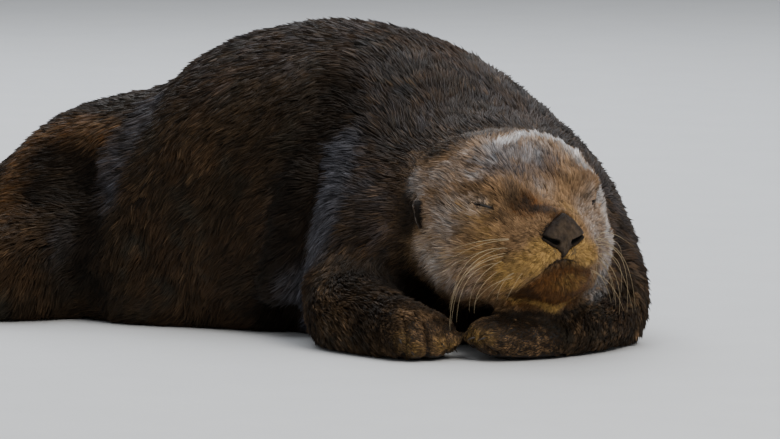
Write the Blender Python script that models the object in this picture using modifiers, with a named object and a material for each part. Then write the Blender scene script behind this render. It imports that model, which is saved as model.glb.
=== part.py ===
"""Sea otter at rest: belly down, chin over its folded forepaws, body curled to its right.

Metres, +Z up. The animal is first laid out in a working frame in which it faces the -Y
side: X runs to its left, Y runs from its chest back to its rump, and the floor is Z = 0.
The solids reach out to the tips of the coat. At the end everything is turned so that +X
runs from the tail towards the head, with the origin under the middle of the animal.
"""

import math
from dataclasses import dataclass

import bmesh
import bpy
from mathutils import Matrix, Vector

SIDES = (("right", -1), ("left", 1))
GAP = 0.00035  # clearance between two neighbouring solids
BOTTOM_FULLNESS = 2.7  # how square the underside of a section is; 2 is an ellipse

# Head, in its own axes: X forward to the nose, Y to the animal's left, Z up.
HEAD_PLACE = Vector((0.1065, 0.0, 0.1175))
HEAD_YAW = math.radians(28)  # turned to its left of straight ahead
EYE_PLACE = Vector((0.0455, 0.0485, 0.018))  # of the left eye's middle
EYE_RADIUS = 0.0085
LID_SLIT = Vector((0.012, 0.0105, 0.0012))  # reach, half length and half height
EAR_PLACE = Vector((-0.020, 0.083, 0.006))
EAR_HALF = Vector((0.0075, 0.0065, 0.0155))  # half its thickness, width and height
EAR_TAPER = 0.35  # how much thinner its top is than its middle
EAR_CURL = 0.004  # how far its top and base bend back
EAR_HOLLOW = 0.0045
EAR_LEAN = math.radians(-14)  # outwards
EAR_TILT = math.radians(-18)  # backwards
NOSE_PLACE = Vector((0.088, 0.0, -0.006))
NOSE_RADII = (0.010, 0.0215, 0.023)
NOSE_POINT = 1.3  # 2 is an oval pad, 1 a sharp diamond

# Colours of the coat and skin, as linear RGB.
BODY_FUR = (0.020, 0.014, 0.009)
NECK_FUR = (0.050, 0.038, 0.028)
HEAD_FUR = (0.21, 0.16, 0.11)
PAW_FUR = (0.035, 0.022, 0.013)
NOSE_SKIN = (0.045, 0.032, 0.024)
EYE_DARK = (0.008, 0.005, 0.004)

SETTLE_TURN = math.radians(27)  # brings the line from tail to head onto +X


@dataclass(frozen=True)
class Station:
    """A cross-section of a long body: where its widest line is, and how far it reaches."""

    x: float
    y: float
    z: float
    half_width: float
    rise: float
    drop: float = 0.0  # the same as rise where it isn't given

    def row(self):
        return (self.x, self.y, self.z, self.half_width, self.rise, self.drop or self.rise)


SPINE = (
    Station(0.106, 0.012, 0.092, 0.080, 0.084, 0.060),  # inside the back of the head
    Station(0.100, 0.046, 0.078, 0.112, 0.115, 0.076),  # neck
    Station(0.088, 0.086, 0.063, 0.140, 0.142, 0.085),  # shoulders
    Station(0.070, 0.128, 0.068, 0.142, 0.162, 0.092),
    Station(0.040, 0.170, 0.076, 0.147, 0.179, 0.100),  # front ribs
    Station(-0.003, 0.212, 0.083, 0.154, 0.187, 0.108),
    Station(-0.055, 0.247, 0.089, 0.160, 0.185, 0.115),  # back, at its highest
    Station(-0.118, 0.276, 0.090, 0.157, 0.172, 0.115),  # loin
    Station(-0.150, 0.288, 0.088, 0.150, 0.161, 0.112),
    Station(-0.174, 0.297, 0.085, 0.141, 0.148, 0.110),
    Station(-0.200, 0.305, 0.082, 0.132, 0.130, 0.107),  # dip before the hips
    Station(-0.228, 0.314, 0.079, 0.125, 0.124, 0.104),  # hips
    Station(-0.298, 0.334, 0.068, 0.112, 0.114, 0.092),  # rump
    Station(-0.365, 0.356, 0.050, 0.086, 0.074, 0.070),
    Station(-0.430, 0.372, 0.034, 0.056, 0.046, 0.046),  # root of the tail
    Station(-0.520, 0.378, 0.022, 0.040, 0.027, 0.027),
    Station(-0.610, 0.362, 0.016, 0.034, 0.019, 0.019),
    Station(-0.665, 0.342, 0.012, 0.022, 0.012, 0.012),
    Station(-0.683, 0.334, 0.010, 0.010, 0.007, 0.007),  # tip of the tail
)

SKULL = (  # from behind the ears to the end of the muzzle, in the head's axes
    Station(-0.078, 0.0, -0.004, 0.068, 0.058, 0.056),
    Station(-0.048, 0.0, -0.006, 0.082, 0.077, 0.068),
    Station(-0.012, 0.0, -0.008, 0.087, 0.084, 0.071),
    Station(0.020, 0.0, -0.010, 0.084, 0.077, 0.068),
    Station(0.046, 0.0, -0.014, 0.070, 0.060, 0.062),
    Station(0.064, 0.0, -0.020, 0.053, 0.043, 0.054),
    Station(0.080, 0.0, -0.024, 0.037, 0.032, 0.044),
    Station(0.088, 0.0, -0.026, 0.018, 0.018, 0.026),
)

# Rounded lumps of the skull in its own axes: place and radii. The paired ones are the left's.
SKULL_PAIRS = (
    ((0.010, 0.047, -0.026), (0.050, 0.042, 0.046)),  # cheek
    ((0.071, 0.021, -0.027), (0.023, 0.025, 0.020)),  # whisker pad
    ((0.038, 0.038, 0.026), (0.026, 0.030, 0.020)),  # brow
)
SKULL_MIDDLE = (
    ((0.060, 0.0, -0.056), (0.026, 0.032, 0.021)),  # chin
    ((0.068, 0.0, 0.000), (0.026, 0.020, 0.018)),  # bridge
)
BODY_LUMPS = (
    ((-0.008, 0.088, 0.078), (0.070, 0.066, 0.092)),  # right shoulder
    ((0.168, 0.096, 0.060), (0.058, 0.073, 0.077)),  # left shoulder
    ((-0.190, 0.250, 0.075), (0.096, 0.078, 0.088)),  # right flank
    ((-0.155, 0.222, 0.046), (0.128, 0.078, 0.068)),  # belly, spread to the right
    ((-0.120, 0.360, 0.066), (0.100, 0.070, 0.078)),  # left flank
)

# Folds of the loose coat: each is a string of places with the fold's radius there.
FLANK_FOLD = (
    Station(-0.198, 0.300, 0.216, 0.005, 0.005),
    Station(-0.205, 0.252, 0.208, 0.008, 0.008),
    Station(-0.226, 0.214, 0.180, 0.010, 0.010),
    Station(-0.262, 0.199, 0.126, 0.013, 0.013),
    Station(-0.284, 0.200, 0.076, 0.012, 0.012),
    Station(-0.278, 0.202, 0.030, 0.010, 0.010),
    Station(-0.270, 0.210, -0.004, 0.008, 0.008),
)
SHOULDER_FOLD = (
    Station(0.108, 0.122, 0.214, 0.004, 0.004),
    Station(0.062, 0.106, 0.210, 0.008, 0.008),
    Station(0.009, 0.098, 0.198, 0.010, 0.010),
    Station(-0.038, 0.100, 0.176, 0.011, 0.011),
    Station(-0.070, 0.106, 0.142, 0.011, 0.011),
    Station(-0.088, 0.108, 0.090, 0.012, 0.012),
    Station(-0.091, 0.110, 0.040, 0.012, 0.012),
    Station(-0.092, 0.112, -0.004, 0.010, 0.010),
)
HAUNCH_HOLLOW = Vector((-0.292, 0.222, 0.140))
HAUNCH_HOLLOW_RADII = (0.030, 0.024, 0.029)
HAUNCH_HOLLOW_TURN = (0, 0, 25)

# Where the body is parted: a point on each plane and its normal, which points forwards.
NECK_PLANE = Vector((0.090, 0.078, 0.130)), Vector((0.18, -0.72, 0.67))
SHOULDER_PLANE = Vector((-0.088, 0.110, 0.0)), Vector((0.45, -0.893, 0.0))
FLANK_PLANE = Vector((-0.204, 0.220, 0.209)), Vector((0.81, -0.41, -0.42))
TAIL_PLANE = Vector((-0.395, 0.365, 0.0)), Vector((0.97, -0.20, 0.0))
WRIST_RIGHT = Vector((0.008, -0.046, 0.0)), Vector((0.60, -0.80, 0.0))
WRIST_LEFT = Vector((0.138, -0.048, 0.0)), Vector((-0.76, -0.65, 0.0))

FORELEG_RIGHT = (
    Station(0.002, 0.120, 0.080, 0.050, 0.066),  # upper arm, inside the shoulder
    Station(-0.018, 0.070, 0.062, 0.054, 0.060),
    Station(-0.030, 0.022, 0.040, 0.046, 0.042),  # elbow
    Station(-0.014, -0.018, 0.033, 0.037, 0.034),  # forearm
    Station(0.008, -0.046, 0.028, 0.034, 0.027),  # wrist
    Station(0.024, -0.068, 0.024, 0.036, 0.024),
    Station(0.031, -0.083, 0.018, 0.031, 0.017),
    Station(0.035, -0.093, 0.012, 0.018, 0.008),  # fingers
)

FORELEG_LEFT = (
    Station(0.160, 0.125, 0.080, 0.050, 0.066),
    Station(0.180, 0.080, 0.060, 0.046, 0.056),
    Station(0.186, 0.036, 0.036, 0.042, 0.036),  # elbow
    Station(0.168, -0.012, 0.022, 0.036, 0.022),  # forearm
    Station(0.138, -0.048, 0.018, 0.030, 0.019),  # wrist
    Station(0.108, -0.066, 0.019, 0.029, 0.019),
    Station(0.084, -0.075, 0.022, 0.025, 0.018),
    Station(0.068, -0.078, 0.024, 0.013, 0.010),  # fingers
)
TOES_RIGHT = Vector((0.034, -0.087, 0.013)), Vector((0.30, -0.95, 0.0))
TOES_LEFT = Vector((0.076, -0.077, 0.022)), Vector((-0.96, -0.25, 0.0))
TOE_RADIUS = 0.0088
TOE_SPREAD = 0.021  # from the middle of the paw to its outer toes
TOE_SETBACK = 0.005  # how far behind the middle toes the outer ones end

HINDLEG_RIGHT = (
    Station(-0.250, 0.305, 0.075, 0.056, 0.060),  # thigh, inside the haunch
    Station(-0.294, 0.272, 0.068, 0.060, 0.058),
    Station(-0.326, 0.246, 0.056, 0.054, 0.054),  # knee
    Station(-0.362, 0.236, 0.042, 0.044, 0.042),
    Station(-0.400, 0.246, 0.028, 0.033, 0.029),  # ankle
    Station(-0.425, 0.254, 0.021, 0.028, 0.021),
)

HINDLEG_LEFT = (
    Station(-0.180, 0.380, 0.080, 0.058, 0.066),
    Station(-0.215, 0.424, 0.070, 0.060, 0.062),
    Station(-0.252, 0.458, 0.054, 0.052, 0.052),  # knee
    Station(-0.298, 0.474, 0.040, 0.043, 0.040),
    Station(-0.340, 0.474, 0.028, 0.033, 0.029),  # ankle
    Station(-0.368, 0.470, 0.021, 0.028, 0.021),
)

# Hind feet: the ankle, the foot's bearing, and the side that its longest toe is on.
FOOT_RIGHT = Vector((-0.412, 0.250, 0.0)), math.radians(160), 1
FOOT_LEFT = Vector((-0.355, 0.472, 0.0)), math.radians(200), -1
FOOT_LENGTH = 0.175  # from the ankle to the end of the longest toe
FOOT_TOES = 5
FOOT_SPREAD = math.radians(34)
SHORTEST_TOE = 0.72  # of the longest
ANKLE_WIDTH = 0.034
HIND_TOE = (  # how far along the toe, half its width and half its height there
    (0.0, 0.016, 0.017), (0.35, 0.013, 0.012), (0.7, 0.011, 0.009), (0.94, 0.010, 0.008), (1.0, 0.005, 0.004),
)
HIND_TOE_LEVEL = 0.020, 0.008  # height of its middle over the floor, at the ankle and at its end
WEB_REACH = 0.80  # of the foot's length
WEB_PARTS = (0.0, 0.4, 0.75, 1.0)
WEB_HALF_WIDTH = 0.020, 0.056
WEB_HALF_HEIGHT = 0.012, 0.005
WEB_LEVEL = 0.018, 0.007

# Triangles that each solid is thinned out to, and the grid that it is blended on.
HEAD_TRIANGLES, BODY_TRIANGLES = 1400, 2130
FORELEG_TRIANGLES, HINDLEG_TRIANGLES, FOOT_TRIANGLES = 560, 320, 430
BODY_VOXEL, CREASE_VOXEL, LIMB_VOXEL, FINE_VOXEL, FOLD_VOXEL = 0.005, 0.004, 0.004, 0.003, 0.0025


def clear_scene():
    for thing in list(bpy.data.objects):
        bpy.data.objects.remove(thing)


def link(name, mesh):
    thing = bpy.data.objects.new(name, mesh)
    bpy.context.scene.collection.objects.link(thing)
    return thing


def drop(*things):
    for thing in things:
        bpy.data.objects.remove(thing)


def baked(thing, name=None):
    """The object's evaluated mesh as a new plain object. The old one is removed."""
    graph = bpy.context.evaluated_depsgraph_get()
    mesh = bpy.data.meshes.new_from_object(thing.evaluated_get(graph))
    mesh.transform(thing.matrix_world)
    name = name or thing.name
    drop(thing)
    return link(name, mesh)


def between(a, b, c, d, t):
    """Catmull-Rom value at t between b and c."""
    return 0.5 * (
        2 * b
        + (c - a) * t
        + (2 * a - 5 * b + 4 * c - d) * t * t
        + (3 * b - a - 3 * c + d) * t**3
    )


def rows_along(stations, steps):
    """Smooth rows of the stations' values."""
    rows = [Vector(s.row()) for s in stations]
    padded = [2 * rows[0] - rows[1], *rows, 2 * rows[-1] - rows[-2]]
    smooth = [
        between(*padded[i : i + 4], k / steps)
        for i in range(len(rows) - 1)
        for k in range(steps)
    ]
    return [*smooth, rows[-1]]


def fuller(value, fullness):
    """A sine or cosine bent from a circle's towards a square's."""
    return math.copysign(abs(value) ** (2 / fullness), value)


def loft(name, stations, steps=5, around=28, top_fullness=2.0):
    """A closed tube along the stations. Its upright sections are round above, full below."""
    rows = rows_along(stations, steps)
    centres = [row.xyz for row in rows]
    bm = bmesh.new()
    rings = []
    for i, row in enumerate(rows):
        ahead = centres[min(i + 1, len(rows) - 1)] - centres[max(i - 1, 0)]
        side = Vector((0, 0, 1)).cross(ahead).normalized()
        ring = []
        for k in range(around):
            angle = 2 * math.pi * k / around
            above = math.sin(angle) >= 0
            fullness = top_fullness if above else BOTTOM_FULLNESS
            across = row[3] * fuller(math.cos(angle), fullness)
            up = (row[4] if above else row[5]) * fuller(math.sin(angle), fullness)
            ring.append(bm.verts.new(centres[i] + side * across + Vector((0, 0, up))))
        rings.append(ring)
    for first, second in zip(rings, rings[1:]):
        for k in range(around):
            after = (k + 1) % around
            bm.faces.new((first[k], first[after], second[after], second[k]))
    for ring in (rings[0], rings[-1]):
        bm.faces.new(ring)
    bmesh.ops.recalc_face_normals(bm, faces=bm.faces)
    mesh = bpy.data.meshes.new(name)
    bm.to_mesh(mesh)
    bm.free()
    return link(name, mesh)


def ball(name, place, radii, turn=(0.0, 0.0, 0.0), segments=24):
    """An ellipsoid. turn is its rotation about X, Y and Z in degrees."""
    bm = bmesh.new()
    bmesh.ops.create_uvsphere(bm, u_segments=segments, v_segments=segments // 2, radius=1)
    rotation = Matrix.Identity(4)
    for axis, degrees in zip("XYZ", turn):
        rotation = Matrix.Rotation(math.radians(degrees), 4, axis) @ rotation
    bm.transform(Matrix.Translation(place) @ rotation @ Matrix.Diagonal((*radii, 1)))
    mesh = bpy.data.meshes.new(name)
    bm.to_mesh(mesh)
    bm.free()
    return link(name, mesh)


def joined(name, pieces):
    """The pieces' meshes in one object, still overlapping."""
    bm = bmesh.new()
    for piece in pieces:
        piece.data.transform(piece.matrix_world)
        bm.from_mesh(piece.data)
    drop(*pieces)
    mesh = bpy.data.meshes.new(name)
    bm.to_mesh(mesh)
    bm.free()
    return link(name, mesh)


def blend(name, pieces, voxel, rounds):
    """One closed body from overlapping pieces, with the creases where they meet rounded."""
    whole = joined(name, pieces)
    remesh = whole.modifiers.new("one_body", "REMESH")
    remesh.mode = "VOXEL"
    remesh.voxel_size = voxel
    if rounds:
        smooth = whole.modifiers.new("round_creases", "SMOOTH")
        smooth.factor = 0.5
        smooth.iterations = rounds
    return baked(whole)


def thin_out(thing, triangles):
    """Fewer triangles, kept where the shape bends most."""
    thing.data.calc_loop_triangles()
    count = len(thing.data.loop_triangles)
    if count <= triangles:
        return thing
    thin = thing.modifiers.new("thin_out", "DECIMATE")
    thin.ratio = triangles / count
    return baked(thing)


def keep_largest(bm):
    """Deletes the crumbs that a cut can leave, all but the largest connected body."""
    unseen, bodies = set(bm.verts), []
    while unseen:
        body, front = set(), [unseen.pop()]
        while front:
            vert = front.pop()
            body.add(vert)
            near = {edge.other_vert(vert) for edge in vert.link_edges} & unseen
            unseen -= near
            front.extend(near)
        bodies.append(body)
    bodies.sort(key=len)
    for body in bodies[:-1]:
        bmesh.ops.delete(bm, geom=list(body), context="VERTS")


def side_of_plane(thing, name, place, normal):
    """The part of a closed body on the normal's side of a plane, closed with a flat face."""
    bm = bmesh.new()
    bm.from_mesh(thing.data)
    geometry = [*bm.verts, *bm.edges, *bm.faces]
    cut = bmesh.ops.bisect_plane(
        bm, geom=geometry, dist=1e-5, plane_co=place, plane_no=normal, clear_inner=True
    )
    rim = [edge for edge in cut["geom_cut"] if isinstance(edge, bmesh.types.BMEdge)]
    bmesh.ops.holes_fill(bm, edges=rim, sides=0)
    keep_largest(bm)
    mesh = bpy.data.meshes.new(name)
    bm.to_mesh(mesh)
    bm.free()
    return link(name, mesh)


def parted(thing, front_name, back_name, place, normal):
    """Cuts a body in two across a plane, with the standard gap, and removes the original."""
    step = normal.normalized() * GAP / 2
    front = side_of_plane(thing, front_name, place + step, normal)
    back = side_of_plane(thing, back_name, place - step, -normal)
    drop(thing)
    return front, back


def on_floor(thing):
    """Flattens what touches the floor."""
    flat = side_of_plane(thing, thing.name, Vector((0, 0, 0)), Vector((0, 0, 1)))
    name = thing.name
    drop(thing)
    flat.name = name
    return flat


def grown(thing, by):
    """A cutter: a copy of the body with its surface moved out."""
    mesh = thing.data.copy()
    shift = [vertex.normal * by for vertex in mesh.vertices]
    for vertex, move in zip(mesh.vertices, shift):
        vertex.co += move
    cutter = link(thing.name + "_cutter", mesh)
    cutter.hide_render = True
    cutter.display_type = "WIRE"
    return cutter


def carved(thing, neighbours, clearance=GAP):
    """The body less its neighbours, with a gap to each of them."""
    for neighbour in neighbours:
        cutter = grown(neighbour, clearance)
        cut = thing.modifiers.new("carve", "BOOLEAN")
        cut.operation = "DIFFERENCE"
        cut.object = cutter
        thing = baked(thing)
        drop(cutter)
    bm = bmesh.new()
    bm.from_mesh(thing.data)
    bmesh.ops.dissolve_degenerate(bm, dist=1e-5, edges=bm.edges)
    keep_largest(bm)
    bm.to_mesh(thing.data)
    bm.free()
    return thing


def head_matrix():
    turn = Matrix.Rotation(HEAD_YAW - math.pi / 2, 4, "Z")
    return Matrix.Translation(HEAD_PLACE) @ turn


def skull():
    """The head, without the ears, eyes and nose pad."""
    pieces = [loft("skull", SKULL, top_fullness=2.5)]
    for _, side in SIDES:
        pieces += [ball("lump", mirrored(Vector(place), side), radii) for place, radii in SKULL_PAIRS]
    pieces += [ball("lump", place, radii) for place, radii in SKULL_MIDDLE]
    head = blend("head", pieces, FINE_VOXEL, 5)
    head.data.transform(head_matrix())
    return head


def string_of_balls(name, stations):
    """A soft curved rod: balls side by side along the stations, blended."""
    rows = rows_along(stations, 4)
    beads = [ball("bead", row.xyz, (row[3],) * 3, segments=12) for row in rows]
    return blend(name, beads, FOLD_VOXEL, 1)


def body():
    """Neck, trunk and tail in one, with the shoulders, flanks and folds of the coat."""
    lumps = [ball("lump", place, radii) for place, radii in BODY_LUMPS]
    whole = blend("body", [loft("spine", SPINE, around=36), *lumps], BODY_VOXEL, 9)
    folds = [
        string_of_balls("flank_fold", FLANK_FOLD),
        string_of_balls("shoulder_fold", SHOULDER_FOLD),
        ball("haunch_hollow", HAUNCH_HOLLOW, HAUNCH_HOLLOW_RADII, HAUNCH_HOLLOW_TURN),
    ]
    whole = carved(whole, folds, 0.0)
    drop(*folds)
    return blend("body", [whole], CREASE_VOXEL, 4)


def limb(name, stations, toes=()):
    return blend(name, [loft(name, stations, around=20), *toes], LIMB_VOXEL, 3)


def finger_balls(place, heading, count=4):
    """Short blunt toes side by side across the end of a forepaw."""
    across = Vector((-heading.y, heading.x, 0)).normalized()
    middle = (count - 1) / 2
    toes = []
    for i in range(count):
        offset = (i - middle) / middle
        toe = place + across * TOE_SPREAD * offset - heading.normalized() * TOE_SETBACK * abs(offset)
        toes.append(ball("toe", toe, (TOE_RADIUS,) * 3, segments=16))
    return toes


def part_way(ends, share):
    """The value that lies the share of the way from the first end to the second."""
    return ends[0] + (ends[1] - ends[0]) * share


def hind_flipper(name, ankle, bearing, tilt):
    """A long webbed foot: five toes that spread like a fan, the outer one the longest."""
    pieces = []
    along = Matrix.Rotation(bearing, 4, "Z")
    for i in range(FOOT_TOES):
        share = i / (FOOT_TOES - 1)
        angle = tilt * (share - 0.5) * FOOT_SPREAD
        reach = FOOT_LENGTH * part_way((SHORTEST_TOE, 1), share)
        ahead = along @ Vector((math.cos(angle), math.sin(angle), 0))
        across = Vector((-ahead.y, ahead.x, 0)) * tilt * (share - 0.5) * ANKLE_WIDTH
        points = []
        for part, width, height in HIND_TOE:
            place = ankle + ahead * reach * part + across * part_way((1, 0.8), part)
            level = part_way(HIND_TOE_LEVEL, part)
            points.append(Station(place.x, place.y, level, width, height))
        pieces.append(loft("toe", tuple(points), steps=3, around=12))
    web = []
    for part in WEB_PARTS:
        place = ankle + (along @ Vector((1, 0, 0))) * FOOT_LENGTH * WEB_REACH * part
        sizes = (part_way(ends, part) for ends in (WEB_LEVEL, WEB_HALF_WIDTH, WEB_HALF_HEIGHT))
        web.append(Station(place.x, place.y, *sizes))
    pieces.append(loft("web", tuple(web), steps=3, around=20))
    return blend(name, pieces, FINE_VOXEL, 2)


def ear(name, side):
    """A small upright ear: a rolled leaf of skin that opens forwards."""
    bm = bmesh.new()
    bmesh.ops.create_uvsphere(bm, u_segments=12, v_segments=8, radius=1)
    for vert in bm.verts:
        x, y, z = vert.co
        thick = EAR_HALF.x * (1 - EAR_TAPER * z)
        vert.co = Vector((x * thick - EAR_CURL * z * z, y * EAR_HALF.y, z * EAR_HALF.z))
        if x > 0:
            vert.co.x -= EAR_HOLLOW * max(0.0, 1 - (y / 0.75) ** 2) * max(0.0, 1 - z * z)
    lean = Matrix.Rotation(EAR_LEAN * side, 4, "X")
    back = Matrix.Rotation(EAR_TILT, 4, "Y")
    bm.transform(head_matrix() @ Matrix.Translation(mirrored(EAR_PLACE, side)) @ lean @ back)
    mesh = bpy.data.meshes.new(name)
    bm.to_mesh(mesh)
    bm.free()
    return link(name, mesh)


def head_ball(name, place, radii, turn=(0.0, 0.0, 0.0), segments=16):
    """An ellipsoid placed in the head's axes."""
    thing = ball(name, place, radii, turn, segments)
    thing.data.transform(head_matrix())
    return thing


def nose_pad():
    """The bare pad at the end of the muzzle, a rounded diamond from the front."""
    nose = ball("nose", (0, 0, 0), (1, 1, 1), segments=12)
    for vert in nose.data.vertices:
        x, y, z = vert.co
        pinch = (abs(y) ** NOSE_POINT + abs(z) ** NOSE_POINT) ** (1 / NOSE_POINT)
        inward = math.hypot(y, z) / pinch if pinch else 1
        vert.co = (x * NOSE_RADII[0], y * NOSE_RADII[1] * inward, z * NOSE_RADII[2] * inward)
    nose.data.transform(head_matrix() @ Matrix.Translation(NOSE_PLACE))
    return nose


def mirrored(place, side):
    return Vector((place.x, place.y * side, place.z))


def open_eye_sockets(head):
    """A closed-lid slit over each eyeball, and the hollow that the ball sits in."""
    for side in (-1, 1):
        outwards = math.degrees(math.atan2(EYE_PLACE.y, EYE_PLACE.x)) * side
        front = Vector((math.cos(math.radians(outwards)), math.sin(math.radians(outwards)), 0))
        middle = mirrored(EYE_PLACE, side) + front * EYE_RADIUS
        slit = head_ball("slit", middle, LID_SLIT, (8 * side, 0, outwards), 12)
        socket = head_ball("socket", mirrored(EYE_PLACE, side), (EYE_RADIUS + GAP,) * 3, segments=10)
        head = carved(head, [slit, socket], 0.0)
        drop(slit, socket)
    return head


def settle(things):
    """Turns the animal so that it lies along X, its box's bottom middle at the origin."""
    turn = Matrix.Rotation(SETTLE_TURN, 4, "Z")
    for thing in things:
        thing.data.transform(turn)
    corners = [vertex.co for thing in things for vertex in thing.data.vertices]
    low = [min(corner[axis] for corner in corners) for axis in range(3)]
    high = [max(corner[axis] for corner in corners) for axis in range(3)]
    shift = Vector((-(low[0] + high[0]) / 2, -(low[1] + high[1]) / 2, 0))
    for thing in things:
        thing.data.transform(Matrix.Translation(shift))


def material(name, colour, roughness):
    made = bpy.data.materials.new(name)
    made.use_nodes = True
    shader = made.node_tree.nodes["Principled BSDF"]
    shader.inputs["Base Color"].default_value = (*colour, 1)
    shader.inputs["Roughness"].default_value = roughness
    shader.inputs["Metallic"].default_value = 0.0
    return made


def dress(things):
    """Gives every part its colour, smooth shading and place in the otter's collection."""
    finishes = {
        "body": material("body_fur", BODY_FUR, 0.6),
        "neck": material("neck_fur", NECK_FUR, 0.6),
        "head": material("head_fur", HEAD_FUR, 0.7),
        "paw": material("paw_fur", PAW_FUR, 0.7),
        "nose": material("nose_skin", NOSE_SKIN, 0.45),
        "eye": material("eye_dark", EYE_DARK, 0.1),
    }
    kinds = {"neck": "neck", "head": "head", "ear": "paw", "nose": "nose", "eye": "eye"}
    kinds |= {"forepaw": "paw", "hindfoot": "paw"}
    otter = bpy.data.collections.new("sea_otter")
    bpy.context.scene.collection.children.link(otter)
    for thing in things:
        kind = kinds.get(thing.name.split("_")[0], "body")
        thing.data.materials.clear()
        thing.data.materials.append(finishes[kind])
        thing.data.shade_smooth()
        bpy.context.scene.collection.objects.unlink(thing)
        otter.objects.link(thing)


def make_head():
    head = thin_out(skull(), HEAD_TRIANGLES)
    nose = carved(nose_pad(), [head])
    ears = [carved(ear(f"ear_{word}", side), [head]) for word, side in SIDES]
    eyes = [
        head_ball(f"eye_{word}", mirrored(EYE_PLACE, side), (EYE_RADIUS,) * 3, segments=10)
        for word, side in SIDES
    ]
    return open_eye_sockets(head), nose, ears, eyes


def make_body(head_parts):
    """The neck, the trunk in three lengths and the tail. Returned whole as well, to cut by."""
    whole = on_floor(thin_out(body(), BODY_TRIANGLES))
    whole = carved(whole, head_parts)
    rest = link("rest", whole.data.copy())
    front, rest = parted(rest, "front", "rest", *SHOULDER_PLANE)
    neck, trunk_front = parted(front, "neck", "trunk_front", *NECK_PLANE)
    trunk_middle, rest = parted(rest, "trunk_middle", "rest", *FLANK_PLANE)
    trunk_rear, tail = parted(rest, "trunk_rear", "tail", *TAIL_PLANE)
    return whole, [neck, trunk_front, trunk_middle, trunk_rear, tail]


def make_forelegs(whole, head):
    """Upper arm and forearm in one part, the paw in another, for each side."""
    made = []
    for word, stations, toes, wrist in (
        ("right", FORELEG_RIGHT, TOES_RIGHT, WRIST_RIGHT),
        ("left", FORELEG_LEFT, TOES_LEFT, WRIST_LEFT),
    ):
        leg = limb("leg", stations, finger_balls(*toes))
        leg = on_floor(thin_out(leg, FORELEG_TRIANGLES))
        leg = carved(leg, [whole, head, *made])
        made += parted(leg, f"forepaw_{word}", f"foreleg_{word}", *wrist)
    return made


def make_hindlegs(whole):
    """Thigh and shank in one part, the flipper in another, for each side."""
    made = []
    for word, stations, foot in (("right", HINDLEG_RIGHT, FOOT_RIGHT), ("left", HINDLEG_LEFT, FOOT_LEFT)):
        leg = on_floor(thin_out(limb(f"hindleg_{word}", stations), HINDLEG_TRIANGLES))
        leg = carved(leg, [whole])
        flipper = on_floor(thin_out(hind_flipper(f"hindfoot_{word}", *foot), FOOT_TRIANGLES))
        made += [leg, carved(flipper, [whole, leg])]
    return made


def main():
    clear_scene()
    head, nose, ears, eyes = make_head()
    whole, trunk = make_body([head, *ears])
    limbs = make_forelegs(whole, head) + make_hindlegs(whole)
    drop(whole)
    things = [head, nose, *ears, *eyes, *trunk, *limbs]
    settle(things)
    dress(things)


main()
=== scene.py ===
"""The looks of a life-size still model of a resting sea otter, with its studio."""

import logging
import math
from dataclasses import dataclass, field
from enum import Enum
from typing import ClassVar

import bmesh
import bpy
import numpy as np
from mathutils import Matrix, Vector
from mathutils.bvhtree import BVHTree
from mathutils.kdtree import KDTree


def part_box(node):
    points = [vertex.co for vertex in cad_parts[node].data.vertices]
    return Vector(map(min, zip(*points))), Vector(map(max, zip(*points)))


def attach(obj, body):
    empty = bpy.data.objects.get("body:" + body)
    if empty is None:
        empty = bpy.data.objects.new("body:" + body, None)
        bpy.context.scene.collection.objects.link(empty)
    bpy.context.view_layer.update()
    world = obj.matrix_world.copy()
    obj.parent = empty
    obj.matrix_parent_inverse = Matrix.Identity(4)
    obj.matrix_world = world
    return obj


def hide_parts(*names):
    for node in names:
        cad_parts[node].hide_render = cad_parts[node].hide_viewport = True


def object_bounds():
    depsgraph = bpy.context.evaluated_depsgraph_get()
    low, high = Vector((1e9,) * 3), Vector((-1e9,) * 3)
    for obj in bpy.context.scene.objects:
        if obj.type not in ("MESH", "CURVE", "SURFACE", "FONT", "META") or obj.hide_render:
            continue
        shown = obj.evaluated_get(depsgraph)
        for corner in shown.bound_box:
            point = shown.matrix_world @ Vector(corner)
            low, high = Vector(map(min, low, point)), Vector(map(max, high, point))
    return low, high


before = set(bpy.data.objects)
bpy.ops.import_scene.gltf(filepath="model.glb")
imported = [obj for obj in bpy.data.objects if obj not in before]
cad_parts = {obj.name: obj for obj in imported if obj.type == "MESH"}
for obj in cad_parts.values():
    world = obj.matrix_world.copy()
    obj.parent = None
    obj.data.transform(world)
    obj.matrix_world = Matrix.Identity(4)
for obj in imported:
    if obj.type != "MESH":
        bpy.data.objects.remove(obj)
CAD_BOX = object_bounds()

Array = np.ndarray
Mesh = bpy.types.Mesh
Socket = bpy.types.NodeSocket
log = logging.getLogger("sea_otter")

SIDES = {"right": -1, "left": 1}
MOST_TUFTS = 48000  # four triangles each, so that a piece stays under 200,000
PATCH = 0.003  # how wide a tuft's own patch is on the unwrap
MM = 0.001


# --- small tools


def unit(vectors: Array) -> Array:
    """The same directions with length 1, from one vector or one a row."""
    size = np.linalg.norm(vectors, axis=-1, keepdims=True)
    return vectors / np.maximum(size, 1e-9)


def ease(low: float, high: float, value: Array) -> Array:
    """Rises softly from 0 at low to 1 at high, or falls where high lies below low."""
    share = np.clip((value - low) / (high - low), 0.0, 1.0)
    return share * share * (3 - 2 * share)


def bell(value: Array, wide: float) -> Array:
    """1 where the value is 0, falling off like a bell on both sides."""
    return np.exp(-((value / wide) ** 2))


def ring_turns(count: int) -> Array:
    """Even steps of a full turn, in radians, the end left out."""
    return np.linspace(0, 2 * math.pi, count, endpoint=False)


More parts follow.
